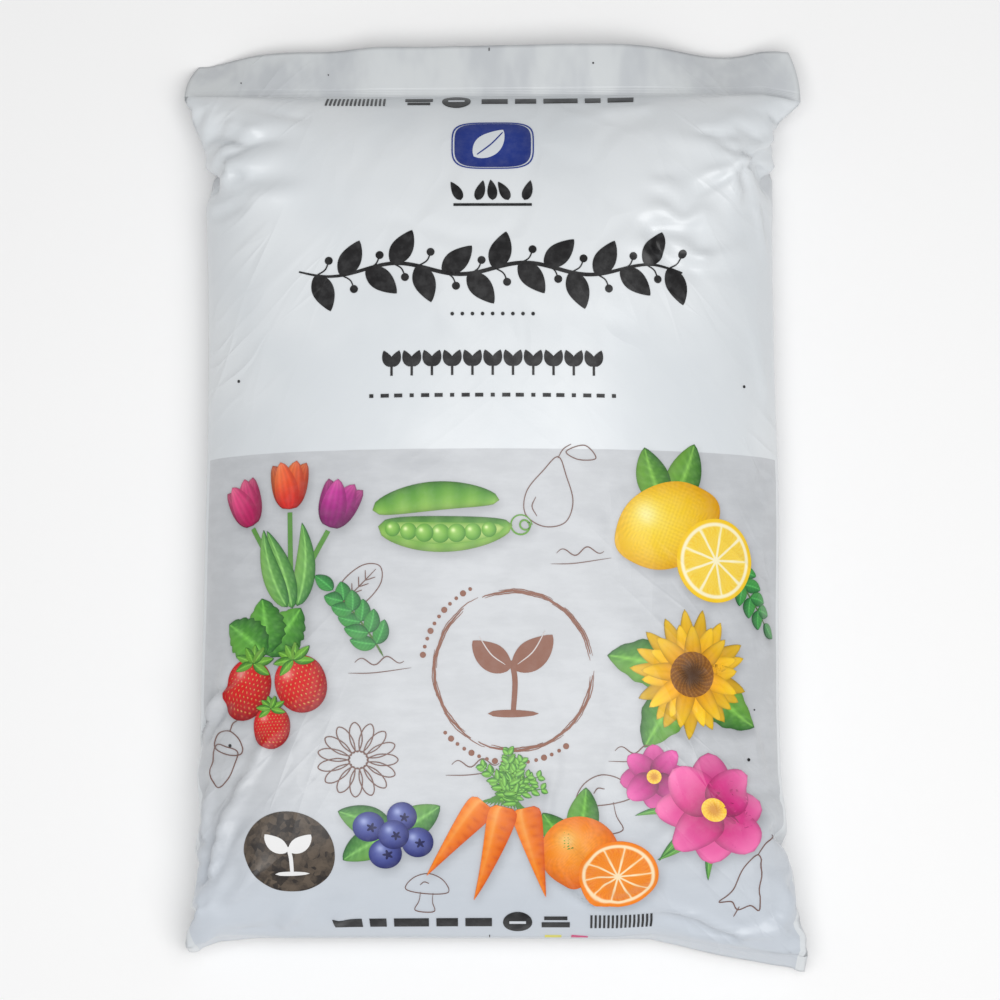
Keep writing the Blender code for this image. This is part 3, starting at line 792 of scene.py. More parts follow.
# Three tulips on bent stems with long leaves.
def tulips():
    marks = []
    green = (38, 104, 52), (130, 186, 96)
    for base, dark, stem, turn, at in (
            ((236, 84, 140), (168, 22, 84), ((-0.004, -0.044), (-0.010, -0.022), (-0.022, 0.004)), 18,
             (-0.022, 0.006)),
            ((246, 120, 60), (206, 44, 40), ((0.000, -0.046), (0.001, -0.020), (0.003, 0.010)), -4,
             (0.003, 0.012)),
            ((206, 60, 160), (120, 14, 96), ((0.004, -0.044), (0.012, -0.024), (0.025, -0.004)), -26,
             (0.026, -0.002))):
        marks.append(moved(ribbon(curve(stem, 16), 0.0014, plain(96, 150, 70)), layer=1))
        for k, (lean, half, tone) in enumerate(((-20, 0.0070, 0.86), (20, 0.0070, 0.80), (-9, 0.0078, 0.96),
                                                (10, 0.0075, 1.04))):
            def paint(s, w, tone=tone):
                colour = blend(dark, base, smoothStep(s * 1.3) * (0.75 + 0.25 * w))
                fine = np.cos(w * math.pi * 4) * 0.05
                return blend(colour, (255, 206, 190), 0.25 * smoothStep((s - 0.7) / 0.3)) * \
                    (tone + fine - 0.18 * np.abs(w) ** 4)[..., None]
            mark = blade(0.029, half, paint, (0.72, 0.62), 0.012 * lean, rows=16, columns=8)
            marks.append(moved(mark, 90 + turn + lean * 0.75, at, layer=3 + k))
    for turn, at, bend in ((118, (-0.003, -0.046), -0.5), (66, (0.003, -0.046), 0.55),
                           (96, (0.000, -0.047), 0.3)):
        marks.append(moved(leaf(0.050, 0.0062, *green, bend=bend, swell=(0.7, 0.8)), turn, at, layer=2))
    return marks


# A sunflower with two rings of petals, a seed heart and leaves behind.
def sunflower():
    green = (30, 92, 40), (112, 172, 64)
    marks = [moved(leaf(0.052, 0.014, *green, teeth=(5, 0.05)), turn, layer=0) for turn in (-140, -52, 152)]
    marks += group(flower(0.039, 17, 0.0056, (240, 160, 12), (254, 206, 40), (214, 104, 8), (0.85, 0.7), 2,
                          4), layer=2)
    marks.append(seedHeart(0.0135, (112, 66, 24), (58, 34, 20), (206, 142, 48), 30, layer=8))
    return marks


# Three carrots with feathery tops.
def carrots():
    marks = []
    random = np.random.default_rng(8)
    for k, (turn, at, long) in enumerate(((-118, (-0.012, 0.004), 0.058), (-66, (0.012, 0.006), 0.060),
                                          (-92, (0.000, 0.004), 0.064))):
        def paint(s, w):
            rings = np.exp(-((((s * 11 + 0.25 * w + 0.2 * np.sin(9 * s)) % 1)
                              - 0.5) / 0.10) ** 2) * (0.35 + 0.4 * (w > 0))
            colour = blend((250, 138, 30), (212, 82, 10), 0.25 + 0.35 * w + 0.3 * np.abs(w) ** 3)
            colour = blend(colour, (186, 70, 12), rings * 0.5)
            return blend(colour, (255, 206, 140), 0.55 * np.exp(-((w + 0.45) / 0.2) ** 2) * (1 - s))
        marks.append(moved(blade(long, 0.0086, paint, (0.30, 0.85), 0.10 * (1 - k), rows=30, columns=10,
                                 start=0.004), turn, at, layer=4 + k))
    for k in range(15):
        lean = 90 + (k - 7) * 8.5 + random.uniform(-3, 3)
        long = random.uniform(0.026, 0.040)
        bend = random.uniform(-0.5, 0.5)
        start = ((k - 7) * 0.0022, 0.003)
        stem = blade(long, 0.0007, plain(82, 140, 58), (0.2, 0.3), bend, rows=10, columns=2)
        marks.append(moved(stem, lean, start, layer=1))
        for m in range(5):
            s = 0.35 + 0.15 * m
            turn = bend * s
            ahead, aside = (math.sin(turn) / bend, (1 - math.cos(turn)) / bend) if abs(bend) > 1e-3 else (s, 0)
            spot = (long * ahead, long * aside)
            for side in (-1, 1):
                small = leaf(0.0095 - 0.0012 * m, 0.0017, (34, 104, 34), (120, 184, 70), rows=6, columns=4)
                small = moved(small, math.degrees(turn) + side * 42, spot)
                marks.append(moved(small, lean, start, layer=2 + k % 2))
    return marks


# Five blueberries with their small crowns, and leaves.
def blueberries():
    green = (30, 88, 48), (112, 170, 84)
    marks = [moved(leaf(0.033, 0.0095, *green), turn, (0, 0.002), layer=0) for turn in (24, 150, 205)]
    for k, (x, y, size) in enumerate(((-0.013, 0.006, 0.0092), (0.006, 0.012, 0.0088),
                                      (0.015, -0.004, 0.0094),
                                      (-0.004, -0.011, 0.0096), (0.001, 0.001, 0.0090))):
        skin = disc(size, ball((74, 84, 158), (28, 30, 84), (186, 198, 240), 0.6), rings=12, rays=48)
        marks.append(moved(skin, 0, (x, y), layer=2 + k))
        crown = disc(size * 0.34, plain(34, 36, 84), lambda a: 0.72 + 0.28 * np.cos(5 * a), rings=4, rays=40)
        marks.append(moved(crown, 12 * k, (x + size * 0.15, y - size * 0.05), layer=3 + k))
    return marks


# A cut orange, a wedge's worth of another behind it, and leaves.
def oranges():
    green = (26, 86, 34), (104, 168, 60)
    whole = disc(0.027, ball((250, 142, 22), (206, 84, 4), (255, 224, 160), 0.55, 70), rings=22, rays=96)
    return [moved(leaf(0.040, 0.011, *green), 76, (-0.014, 0.014), layer=0),
            moved(leaf(0.034, 0.010, *green, bend=-0.3), 140, (-0.016, 0.010), layer=1),
            moved(whole, 0, (-0.013, 0.006), layer=2),
            moved(citrusSlice(0.027, (246, 132, 16), (255, 232, 190), (250, 154, 44), (232, 100, 12), 10), 8,
                  (0.014, -0.012), layer=4)]


# A pink cosmos flower, a smaller one and thin leaves.
def cosmos():
    marks = [moved(leaf(0.044, 0.0028, (34, 100, 48), (118, 176, 84), bend=b), turn, layer=0)
             for turn, b in ((-150, 0.6), (-120, -0.5), (-100, 0.3), (170, 0.5))]
    marks += group(flower(0.034, 8, 0.0125, (214, 40, 128), (244, 116, 178), (150, 10, 86), (0.75, 0.5), 1, 6,
                          7, 0.05), layer=2)
    marks.append(seedHeart(0.0070, (250, 190, 30), (206, 130, 14), (255, 232, 120), 18, layer=5))
    marks += group(flower(0.0200, 8, 0.0072, (176, 26, 120), (226, 92, 168), (120, 8, 76), (0.75, 0.5), 1, 9,
                          5, 0.05), 0, (-0.032, 0.020), layer=0)
    marks.append(moved(seedHeart(0.0042, (250, 190, 30), (206, 130, 14), (255, 232, 120), 12), 0,
                       (-0.032, 0.020), layer=-1))
    return marks


# A stem with leaves in pairs and one at the tip.
def leafSprig(count=5, length=0.062, size=0.019, dark=(16, 84, 44), light=(70, 160, 74)):
    marks = [moved(blade(length, 0.0008, plain(84, 120, 56), (0.2, 0.3), 0.3, rows=14, columns=2), layer=0)]
    for k in range(count):
        s = 0.18 + 0.80 * k / count
        turn = 0.3 * s
        spot = length * math.sin(turn) / 0.3, length * (1 - math.cos(turn)) / 0.3
        for side in (-1, 1):
            marks.append(moved(leaf(size * (1 - 0.06 * k), size * 0.30, dark, light, bend=-0.3 * side),
                               math.degrees(turn) + side * (58 - 4 * k), spot, layer=1 + k % 2))
    spot = length * math.sin(0.3) / 0.3, length * (1 - math.cos(0.3)) / 0.3
    marks.append(moved(leaf(size * 0.9, size * 0.28, dark, light), math.degrees(0.3), spot, layer=3))
    return marks


brownLine = (122, 92, 84)


# Thin drawn lines: each entry is its points and whether it closes.
def lineDrawing(lines, half=0.00030, colour=brownLine, count=60):
    return [moved(ribbon(curve(points, count if closed else count // 2, closed), half, plain(*colour), 0.0
                         if closed else 0.5))
            for points, closed in lines]


# Outline of one drawn petal, as points.
def petalOutline(length, half, turn, at=(0, 0)):
    c, s = math.cos(math.radians(turn)), math.sin(math.radians(turn))
    flat = ((0, 0), (0.35 * length, half), (0.8 * length, 0.9 * half), (length, 0),
            (0.8 * length, -0.9 * half), (0.35 * length, -half))
    return [(x * c - y * s + at[0], x * s + y * c + at[1]) for x, y in flat]


# The drawn figures: a pear, a leaf, a mushroom, a daisy, an acorn and a bell flower.
def drawings():
    pear = [(((0, 0.022), (0.007, 0.012), (0.014, -0.002), (0.012, -0.015), (0, -0.020), (-0.012, -0.015),
              (-0.014, -0.002), (-0.007, 0.012)), True),
            (((0, 0.021), (0.002, 0.027), (0.006, 0.031)), False),
            (((-0.008, -0.004), (-0.009, -0.010), (-0.005, -0.015)), False),
            (((0.004, 0.026), (0.014, 0.032), (0.022, 0.026), (0.012, 0.023)), True)]
    leafFigure = [(petalOutline(0.040, 0.0095, 35), True),
                  (((0, 0), (0.016, 0.0112), (0.030, 0.0215)), False)]
    for k in range(4):
        s = 0.009 + 0.006 * k
        leafFigure.append((((s * 0.82, s * 0.57), (s * 0.82 + 0.001, s * 0.57 + 0.0066)), False))
        leafFigure.append((((s * 0.82, s * 0.57), (s * 0.82 + 0.0066, s * 0.57 + 0.001)), False))
    mushroom = [(((-0.017, 0.002), (-0.012, 0.013), (0, 0.018), (0.012, 0.013), (0.017, 0.002), (0, -0.001)),
                 True),
                (((-0.005, 0.000), (-0.0055, -0.009), (-0.008, -0.018), (0, -0.020), (0.008, -0.018),
                  (0.0055, -0.009), (0.005, 0.000)), False),
                (((-0.006, 0.007), (-0.003, 0.010), (0.001, 0.009)), False)]
    daisy = []
    for k in range(15):
        start = (0.0045 * math.cos(math.radians(24 * k)), 0.0045 * math.sin(math.radians(24 * k)))
        daisy.append((petalOutline(0.0165, 0.0030, 24 * k, start), True))
    daisy.append(([(0.005 * math.cos(k), 0.005 * math.sin(k)) for k in np.linspace(0, 2 * math.pi, 9)[:-1]],
                  True))
    acorn = [(((-0.010, 0.006), (-0.009, -0.008), (0, -0.019), (0.009, -0.008), (0.010, 0.006), (0, 0.008)),
              True),
             (((-0.012, 0.006), (-0.010, 0.014), (0, 0.018), (0.010, 0.014), (0.012, 0.006), (0, 0.003)),
              True),
             (((0, 0.018), (0.001, 0.023), (0.004, 0.026)), False)]
    bell = [(((0, 0.020), (-0.006, 0.012), (-0.008, -0.002), (-0.013, -0.012), (-0.006, -0.010), (0, -0.014),
              (0.006, -0.010), (0.013, -0.012), (0.008, -0.002), (0.006, 0.012)), True),
            (((0, 0.020), (0.003, 0.028), (0.011, 0.033)), False), (((0, -0.012), (0.0, -0.019)), False)]
    placed = ((pear, 0.034, 0.006, -12, 1.0), (leafFigure, -0.092, -0.062, 10, 0.9),
              (mushroom, 0.066, -0.176, 8, 0.95),
              (daisy, -0.078, -0.150, 0, 1.05), (acorn, -0.158, -0.150, -14, 0.95),
              (bell, 0.148, -0.228, -10, 1.0),
              (mushroom, -0.040, -0.234, -6, 0.75))
    marks = []
    for lines, x, y, turn, size in placed:
        marks += group(lineDrawing(lines), turn, (x, y), size)
    return marks


# Short drawn strokes with a wavy line over each, where a plant's name would be.
def underlines():
    marks = []
    for x, y, turn in ((0.052, -0.034, 5), (-0.066, -0.098, 4), (0.086, -0.150, 3), (-0.010, -0.158, 4)):
        stroke = [moved(ribbon(curve(((-0.018, 0), (-0.004, -0.0008), (0.018, 0.0006)), 20), 0.00026,
                               plain(*brownLine), 0.8))]
        wave = np.linspace(0, 1, 30)
        stroke.append(moved(ribbon(np.stack((-0.014 + 0.028 * wave, 0.006 + 0.0022 * np.sin(wave * 12)), 1),
                                   0.00034, plain(*brownLine), 0.6)))
        marks += group(stroke, turn, (x, y))
    return marks


ringEmblem = dict(x=0.012, y=-0.098, radius=0.0465, colour=(140, 90, 70))


# A brushed ring round a seedling, with an arc of dots outside it.
def ringMarks():
    random = np.random.default_rng(5)
    marks = []
    for offset, half, gaps in ((0.0, 0.00075, 3), (-0.0011, 0.00032, 6), (0.0011, 0.00026, 7)):
        for k in range(gaps):
            first = 2 * math.pi * k / gaps + random.uniform(0.05, 0.25)
            last = 2 * math.pi * (k + 1) / gaps - random.uniform(0.0, 0.15)
            a = np.linspace(first, last, max(int(150 * (last - first) / 6.28), 12))
            rough = ringEmblem["radius"] + offset + 0.00022 * np.sin(a * 17 + k) + 0.00012 * np.sin(a * 53)
            marks.append(moved(ribbon(np.stack((rough * np.cos(a), rough * np.sin(a)), 1), half,
                                      plain(*ringEmblem["colour"]), 0.7)))
    brown = plain(*ringEmblem["colour"])
    marks.append(moved(ribbon(curve(((0.000, -0.024), (0.001, -0.006), (-0.001, 0.006)), 16), 0.0016, brown,
                              0.1), layer=0))
    for turn, long, half in ((38, 0.031, 0.0088), (146, 0.028, 0.0082)):
        marks.append(moved(blade(long, half, brown, (0.85, 0.75), 0.5
                                 if turn < 90 else -0.5, rows=18, columns=6),
                           turn - (14 if turn < 90 else -14), (-0.001, 0.002), layer=1))
        marks.append(moved(ribbon(curve(((0.004, 0.0002), (long * 0.5, long * 0.11),
                                         (long * 0.86, long * 0.37)), 14)
                                  * ((1, 1) if turn < 90 else (1, -1)),
                                  0.00035, plain(212, 204, 202), 0.6), turn - (14 if turn < 90 else -14),
                           (-0.001, 0.002), layer=3))
    marks.append(moved(blade(0.030, 0.0022, brown, (0.8, 0.5), 0.0, rows=10, columns=2), 0, (-0.015, -0.025),
                       layer=0))
    for start, count in ((118, 11), (222, 17)):
        for k in range(count):
            a = math.radians(start + 5.2 * k)
            at = (ringEmblem["radius"] + 0.0075) * math.cos(a), (ringEmblem["radius"] + 0.0075) * math.sin(a)
            marks.append(moved(disc(0.0011 + 0.0007 * (k % 3 == 1), brown, rings=2, rays=16), 0, at))
    return group(marks, 0, (ringEmblem["x"], ringEmblem["y"]))


# The dark print on the white field: a garland of leaves in the title's place, and rows of small plain
# shapes.
def titleMarks():
    dark = plain(20, 19, 21)
    marks = []
    span, rise = 0.232, 0.0035
    line = np.linspace(-span / 2, span / 2, 90)
    marks.append(moved(ribbon(np.stack((line, 0.140 + rise * np.sin(line * 82)), 1), 0.0012, dark, 0.6)))
    for k in range(15):
        x = -span / 2 + 0.010 + 0.0152 * k
        y = 0.140 + rise * math.sin(x * 82)
        slope = math.degrees(math.atan(rise * 82 * math.cos(x * 82)))
        side = 1 if k % 2 else -1
        marks.append(moved(blade(0.0240, 0.0066, dark, (0.8, 0.8), 0.25 * side, rows=24, columns=10),
                           slope + side * 48, (x, y)))
        marks.append(moved(disc(0.0024, dark, rings=3, rays=24), 0, (x + 0.0082, y - side * 0.0084)))
        marks.append(moved(ribbon(curve(((x + 0.001, y), (x + 0.006, y - side * 0.003),
                                         (x + 0.0082, y - side * 0.0080)), 8), 0.0004, dark)))
    for k in range(9):
        marks.append(moved(disc(0.0011, dark, rings=2, rays=16), 0, (-0.024 + 0.006 * k, 0.1125)))
    for k in range(11):
        x = -0.060 + 0.0120 * k
        for side in (-1, 1):
            marks.append(moved(blade(0.0108, 0.0030, dark, (0.8, 0.8), 0.3 * side, rows=10, columns=4),
                               90 - side * 34, (x, 0.0812)))
        marks.append(moved(ribbon(((x, 0.0758), (x, 0.0800), (x, 0.0850)), 0.0007, dark)))
    for k in range(19):
        half = 0.0024 if k % 3 else 0.0012
        x = -0.072 + 0.0080 * k
        marks.append(moved(ribbon(((x - half, 0.0640), (x, 0.0640), (x + half, 0.0640)), 0.0011, dark)))
    return marks


# A blue emblem with a white leaf, over a row of dark seeds.
def emblemMarks():
    def enamel(r, a, x, y):
        return blend((29, 55, 142), (24, 46, 124), r ** 2)

    def squarish(a):
        return (np.abs(np.cos(a)) ** 4 + np.abs(1.42 * np.sin(a)) ** 4) ** -0.25
    white = plain(222, 227, 232)
    blue = plain(28, 53, 137)
    marks = [moved(disc(0.0232, enamel, squarish, rings=14, rays=120), 0, (0, 0.2215)),
             moved(blade(0.0270, 0.0080, white, (0.85, 0.8), 0.3, rows=20, columns=8), 40, (-0.0115, 0.2125),
                   layer=2)]
    rib = curve(((-0.0095, 0.2138), (-0.0010, 0.2215), (0.0060, 0.2305)), 14)
    marks.append(moved(ribbon(rib, 0.00045, blue, 0.3), layer=4))
    marks.append(moved(disc(0.0250, blue, squarish, rings=2, rays=120, inner=0.968), 0, (0, 0.2215)))
    dark = plain(20, 20, 22)
    for k in range(5):
        x = -0.0190 + 0.0095 * k
        lean = (22, -22, 0, 22, -22)[k]
        marks.append(moved(blade(0.0135, 0.0030, dark, (0.7, 0.8), 0.2, rows=12, columns=4), 90 + lean,
                           (x, 0.1830)))
    marks.append(moved(ribbon(((-0.0235, 0.1800), (0, 0.1800), (0.0235, 0.1800)), 0.0008, dark)))
    return marks


# The narrow strips at both ends: plain bars, an oval, two short lines and a block of even stripes.
def stripMarks():
    dark = plain(20, 20, 22)
    marks = []
    for end in (-1, 1):
        strip = []
        for k, long in enumerate((0.017, 0.010, 0.021, 0.013, 0.016)):
            x = -0.092 + (0, 0.0215, 0.036, 0.0615, 0.079)[k]
            strip.append(moved(ribbon(np.linspace((x, 0), (x + long, 0), 11), 0.0036, dark, columns=7)))
        strip.append(moved(disc(0.0088, dark, rings=6, rays=48), 0, (0.0185, 0)))
        strip.append(moved(ribbon(((0.0135, 0), (0.0185, 0), (0.0235, 0)), 0.0011, plain(214, 218, 224)),
                           layer=2))
        strip.append(moved(ribbon(((0.0345, 0.0035), (0.0415, 0.0035), (0.0485, 0.0035)), 0.0014, dark)))
        strip.append(moved(ribbon(((0.0330, -0.0025), (0.0415, -0.0025), (0.0500, -0.0025)), 0.0022, dark)))
        for k in range(15):
            x = 0.0630 + 0.0026 * k
            strip.append(moved(ribbon(((x, -0.0055), (x, 0), (x, 0.0060)), 0.00065, dark)))
        along = end * filmTube["length"] / 2 - (0.0105 if end > 0 else -0.0160)
        marks += group(strip, 180 if end > 0 else 0, (-0.004, along))
    return marks


# A white sprout on the dark badge.
def badgeMarks():
    white = plain(236, 236, 236)
    marks = [moved(ribbon(curve(((0, -0.0120), (0.0008, -0.002), (0, 0.004)), 14), 0.0011, white, 0.1),
                   layer=2)]
    for turn, bend in ((24, 0.5), (156, -0.5)):
        marks.append(moved(blade(0.0165, 0.0046, white, (0.85, 0.75), bend, rows=14, columns=6), turn,
                           (0, 0.0015), layer=2))
    marks.append(moved(blade(0.020, 0.0014, white, (0.8, 0.5), 0.0, rows=8, columns=2), 0, (-0.010, -0.0130),
                       layer=2))
    return marks


badge = dict(x=-0.118, y=-0.206, radius=0.0255)
ventHoles = ((-0.158, 0.0775, 0.0009), (0.158, 0.0740, 0.0009), (-0.153, -0.142, 0.0010),
             (0.155, -0.150, 0.0010),
             (-0.160, 0.286, 0.0004), (-0.104, 0.291, 0.0004), (0.062, 0.296, 0.0006),
             (0.162, -0.120, 0.0005))


# Pin-hole vents and specks, dark.
def holeMarks():
    return [moved(disc(size, plain(30, 30, 32), rings=2, rays=16), 0, (x, y)) for x, y, size in ventHoles]


# A yellow and a magenta register line at the bottom weld, and a cut tick at the middle of both ends.
def registerMarks():
    edge = filmTube["length"] / 2
    marks = [moved(ribbon(((0.031, -edge + 0.0006), (0.036, -edge + 0.0004), (0.041, -edge + 0.0005)), 0.0012,
                          plain(222, 214, 96))),
             moved(ribbon(((0.047, -edge + 0.0010), (0.052, -edge + 0.0002), (0.057, -edge - 0.0006)), 0.0010,
                          plain(206, 70, 120)))]
    for y in (-edge + 0.0010, edge + filmTube["topFlap"] - 0.0020):
        marks.append(moved(ribbon(((-0.0025, y - 0.0010), (-0.0025, y), (-0.0025, y + 0.0010)), 0.0003,
                                  plain(40, 40, 42))))
    return marks


# Place and normal on the front at film coordinates: straight between the grid's points both ways.
def onFilm(u, v):
    i = np.clip((u + filmTube["width"] / 2) / acrossStep, 0, columnCount - 1.001)
    j = np.clip((v + filmTube["length"] / 2) / alongStep + bottomRows, 0, rowCount - 1.001)
    a, b = i.astype(int), j.astype(int)
    i, j = (i - a)[..., None], (j - b)[..., None]
    found = []
    for grid in (frontGrid, frontNormals):
        found.append((grid[a, b] * (1 - i) + grid[a + 1, b] * i) * (1 - j)
                     + (grid[a, b + 1] * (1 - i) + grid[a + 1, b + 1] * i) * j)
    return found[0], found[1] / np.linalg.norm(found[1], axis=-1, keepdims=True)


# Points and faces of one mark as a thin closed shell on the film: its welded grid, the same below, and
# walls.
def closedMark(flat, height):
    index = np.arange(flat.shape[0] * flat.shape[1]).reshape(flat.shape[:2])
    key = np.round(flat.reshape(-1, 2) * 1e7).astype(np.int64)
    _, first, same = np.unique(key, axis=0, return_index=True, return_inverse=True)
    same = same.reshape(-1)
    faces = same[gridFaces(index)]
    edges = np.stack((faces, np.roll(faces, -1, axis=1)), -1).reshape(-1, 2)
    edges = edges[edges[:, 0] != edges[:, 1]]
    count = len(first)
    code, back = edges[:, 0] * count + edges[:, 1], edges[:, 1] * count + edges[:, 0]
    rim = edges[~np.isin(code, back)]
    walls = np.stack((rim[:, 1], rim[:, 0], rim[:, 0] + count, rim[:, 1] + count), 1)
    spots = flat.reshape(-1, 2)[first]
    place, normal = onFilm(spots[:, 0], spots[:, 1])
    points = np.concatenate((place + normal * height, place - normal * printLayer["depth"]))
    return points, np.concatenate((faces, faces[:, ::-1] + count, walls)), first


# One piece of print: all its marks as shells in one mesh, with the colours as an attribute named ink.
def makePrint(name, marks):
    points, faces, inks, total = [], [], [], 0
    for k, (flat, colours, layer) in enumerate(marks):
        # marks of one layer that overlap lie at eight slightly different heights
        height = printLayer["lift"] + printLayer["step"] * (max(layer, 0) + 3 * k % 8 / 8)
        spots, corners, first = closedMark(flat, height)
        ink = colours.reshape(-1, 3)[first]
        points.append(spots)
        faces.append(corners + total)
        inks.append(np.concatenate((ink, ink)))
        total += len(spots)
    corners = np.concatenate(faces)
    same = corners == np.roll(corners, -1, axis=1)
    squares = corners[~same.any(1)].tolist()
    corners, same = corners[same.sum(1) == 1], same[same.sum(1) == 1]
    threes = corners[~same].reshape(-1, 3).tolist()
    made = meshObject(name, np.concatenate(points), squares + threes)
    ink = np.clip(np.concatenate(inks), 0, 255) / 255
    ink = np.where(ink <= 0.04045, ink / 12.92, ((ink + 0.055) / 1.055) ** 2.4)
    layer = made.data.color_attributes.new("ink", "FLOAT_COLOR", "POINT")
    ink = np.concatenate((ink, np.ones((len(ink), 1))), 1)
    layer.data.foreach_set("color", ink.astype(np.float32).ravel())
    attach(made, "root")
    return made


printPieces = (
    ("print_dark", titleMarks() + emblemMarks() + stripMarks()),
    ("print_lines", ringMarks() + drawings() + underlines()),
    ("print_citrus", group(lemons(), 0, (0.112, -0.014)) + group(oranges(), 0, (0.062, -0.212), 0.85)),
    ("print_tulips", group(tulips(), 6, (-0.122, -0.014))),
    ("print_peas", group(peaPods(), 8, (-0.030, -0.008))),
    ("print_sprigs", group(leafSprig(), 118, (-0.064, -0.090), 0.8)
     + group(leafSprig(4), -64, (0.145, -0.030), 0.75)),
    ("print_strawberries", group(strawberries(), 0, (-0.128, -0.100))),
    ("print_sunflower", group(sunflower(), 10, (0.118, -0.100))),
    ("print_blueberries", group(blueberries(), 0, (-0.060, -0.196))),
    ("print_carrots", group(carrots(), -12, (0.006, -0.182))),
    ("print_cosmos", group(cosmos(), 0, (0.126, -0.180))),
    ("print_badge", [moved(disc(badge["radius"], plain(66, 58, 54), rings=12, rays=96), 0,
                           (badge["x"], badge["y"]))]),
    ("print_sprout", group(badgeMarks(), 0, (badge["x"], badge["y"])) + registerMarks() + holeMarks()),
)
shadowed = ("print_citrus", "print_tulips", "print_peas", "print_sprigs", "print_strawberries",
            "print_sunflower",
            "print_blueberries", "print_carrots", "print_cosmos")
shadowShape = dict(cell=0.001, blur=0.0024, right=0.0016, down=0.0022)


# How much of each front point lies in the print's own soft shadow: the marks' cover, blurred and shifted.
def printShadow(marks):
    cell = shadowShape["cell"]
    columns, rows = round(filmTube["width"] / cell) + 1, round(filmTube["length"] / cell) + 1
    cover = np.zeros((columns, rows))
    for flat, colours, layer in marks:
        span = max(np.abs(np.diff(flat, axis=0)).max(), np.abs(np.diff(flat, axis=1)).max())
        fine = np.linspace(0, 1, int(span / cell * 1.5) + 2)
        for s in fine:
            side = flat[:-1] * (1 - s) + flat[1:] * s
            for t in fine:
                spot = side[:, :-1] * (1 - t) + side[:, 1:] * t
                i = np.clip((spot[..., 0] + filmTube["width"] / 2) / cell, 0, columns - 1).astype(int)
                j = np.clip((spot[..., 1] + filmTube["length"] / 2) / cell, 0, rows - 1).astype(int)
                cover[i, j] = 1
    fi, fj = np.meshgrid(np.fft.fftfreq(columns, cell), np.fft.fftfreq(rows, cell), indexing="ij")
    soften = np.exp(-2 * (math.pi * shadowShape["blur"]) ** 2 * (fi ** 2 + fj ** 2))
    shift = np.exp(-2j * math.pi * (fi * shadowShape["right"] - fj * shadowShape["down"]))
    soft = np.real(np.fft.ifft2(np.fft.fft2(cover) * soften * shift))
    u = (np.arange(columnCount) * acrossStep / cell).round().astype(int).clip(0, columns - 1)
    v = ((np.arange(rowCount) - bottomRows) * alongStep / cell).round().astype(int)
    share = soft[u[:, None], v.clip(0, rows - 1)[None]]
    return np.where((v < 0) | (v >= rows), 0, np.clip(share, 0, 1))


# A short way to add a node: its kind, settings and inputs, which are values or sockets.
def nodeTree(owner):
    def add(kind, inputs=None, **settings):
        node = owner.nodes.new(kind if kind.startswith("NodeGroup") else "ShaderNode" + kind)
        for key, value in settings.items():
            setattr(node, key, value)
        for key, value in (inputs or {}).items():
            if isinstance(value, bpy.types.NodeSocket):
                owner.links.new(value, node.inputs[key])
            else:
                node.inputs[key].default_value = value
        return node
    return add


# A value's range mapped to another, with soft ends.
def scaled(add, value, low, high, toLow, toHigh, smooth=True):
    node = add("MapRange", {"Value": value, "From Min": low, "From Max": high, "To Min": toLow,
                            "To Max": toHigh},
               interpolation_type="SMOOTHSTEP" if smooth else "LINEAR")
    return node.outputs["Result"]


# One arithmetic step.
def counted(add, kind, one, two=0.0, three=0.0):
    return add("Math", {0: one, 1: two, 2: three}, operation=kind).outputs[0]


filmFinish = dict(soft=0.0015, crinkle=0.00075, pull=0.00070, lumps=0.00009, fine=0.000006, roughness=0.33)


# Lines where the film is pulled from the sides up to the middle: stretched noise, (1 - |2n - 1|)^4, at the
# sides.
def pulled(add, place):
    split = add("SeparateXYZ", {"Vector": place})
    side = counted(add, "ABSOLUTE", split.outputs["X"])
    mirrored = add("CombineXYZ", {"X": side, "Y": split.outputs["Y"], "Z": split.outputs["Z"]}).outputs[0]
    total = None
    for turn, scale, shift in ((0.42, 44.0, 0.0), (0.85, 60.0, 3.0)):
        laid = add("Mapping", {"Vector": mirrored, "Location": (shift, 0, 0), "Rotation": (0, 0, turn),
                               "Scale": (1.0, 9.0, 3.0)}, vector_type="TEXTURE").outputs[0]
        noise = add("TexNoise", {"Vector": laid, "Scale": scale, "Detail": 1.5, "Roughness": 0.4}).outputs[0]
        away = counted(add, "ABSOLUTE", counted(add, "MULTIPLY_ADD", noise, 2.0, -1.0))
        near = counted(add, "SUBTRACT", 1.0, counted(add, "MULTIPLY", away, 1.6))
        line = counted(add, "POWER", counted(add, "MAXIMUM", near, 0.0), 3.0)
        total = line if total is None else counted(add, "MAXIMUM", total, line)
    atSide = scaled(add, side, 0.075, 0.150, 0.10, 1.0)
    patch = scaled(add, add("TexNoise", {"Vector": place, "Scale": 9.0, "Detail": 1.0}).outputs[0], 0.42,
                   0.60, 0.15, 1.0)
    return counted(add, "MULTIPLY", total, counted(add, "MULTIPLY", atSide, patch))


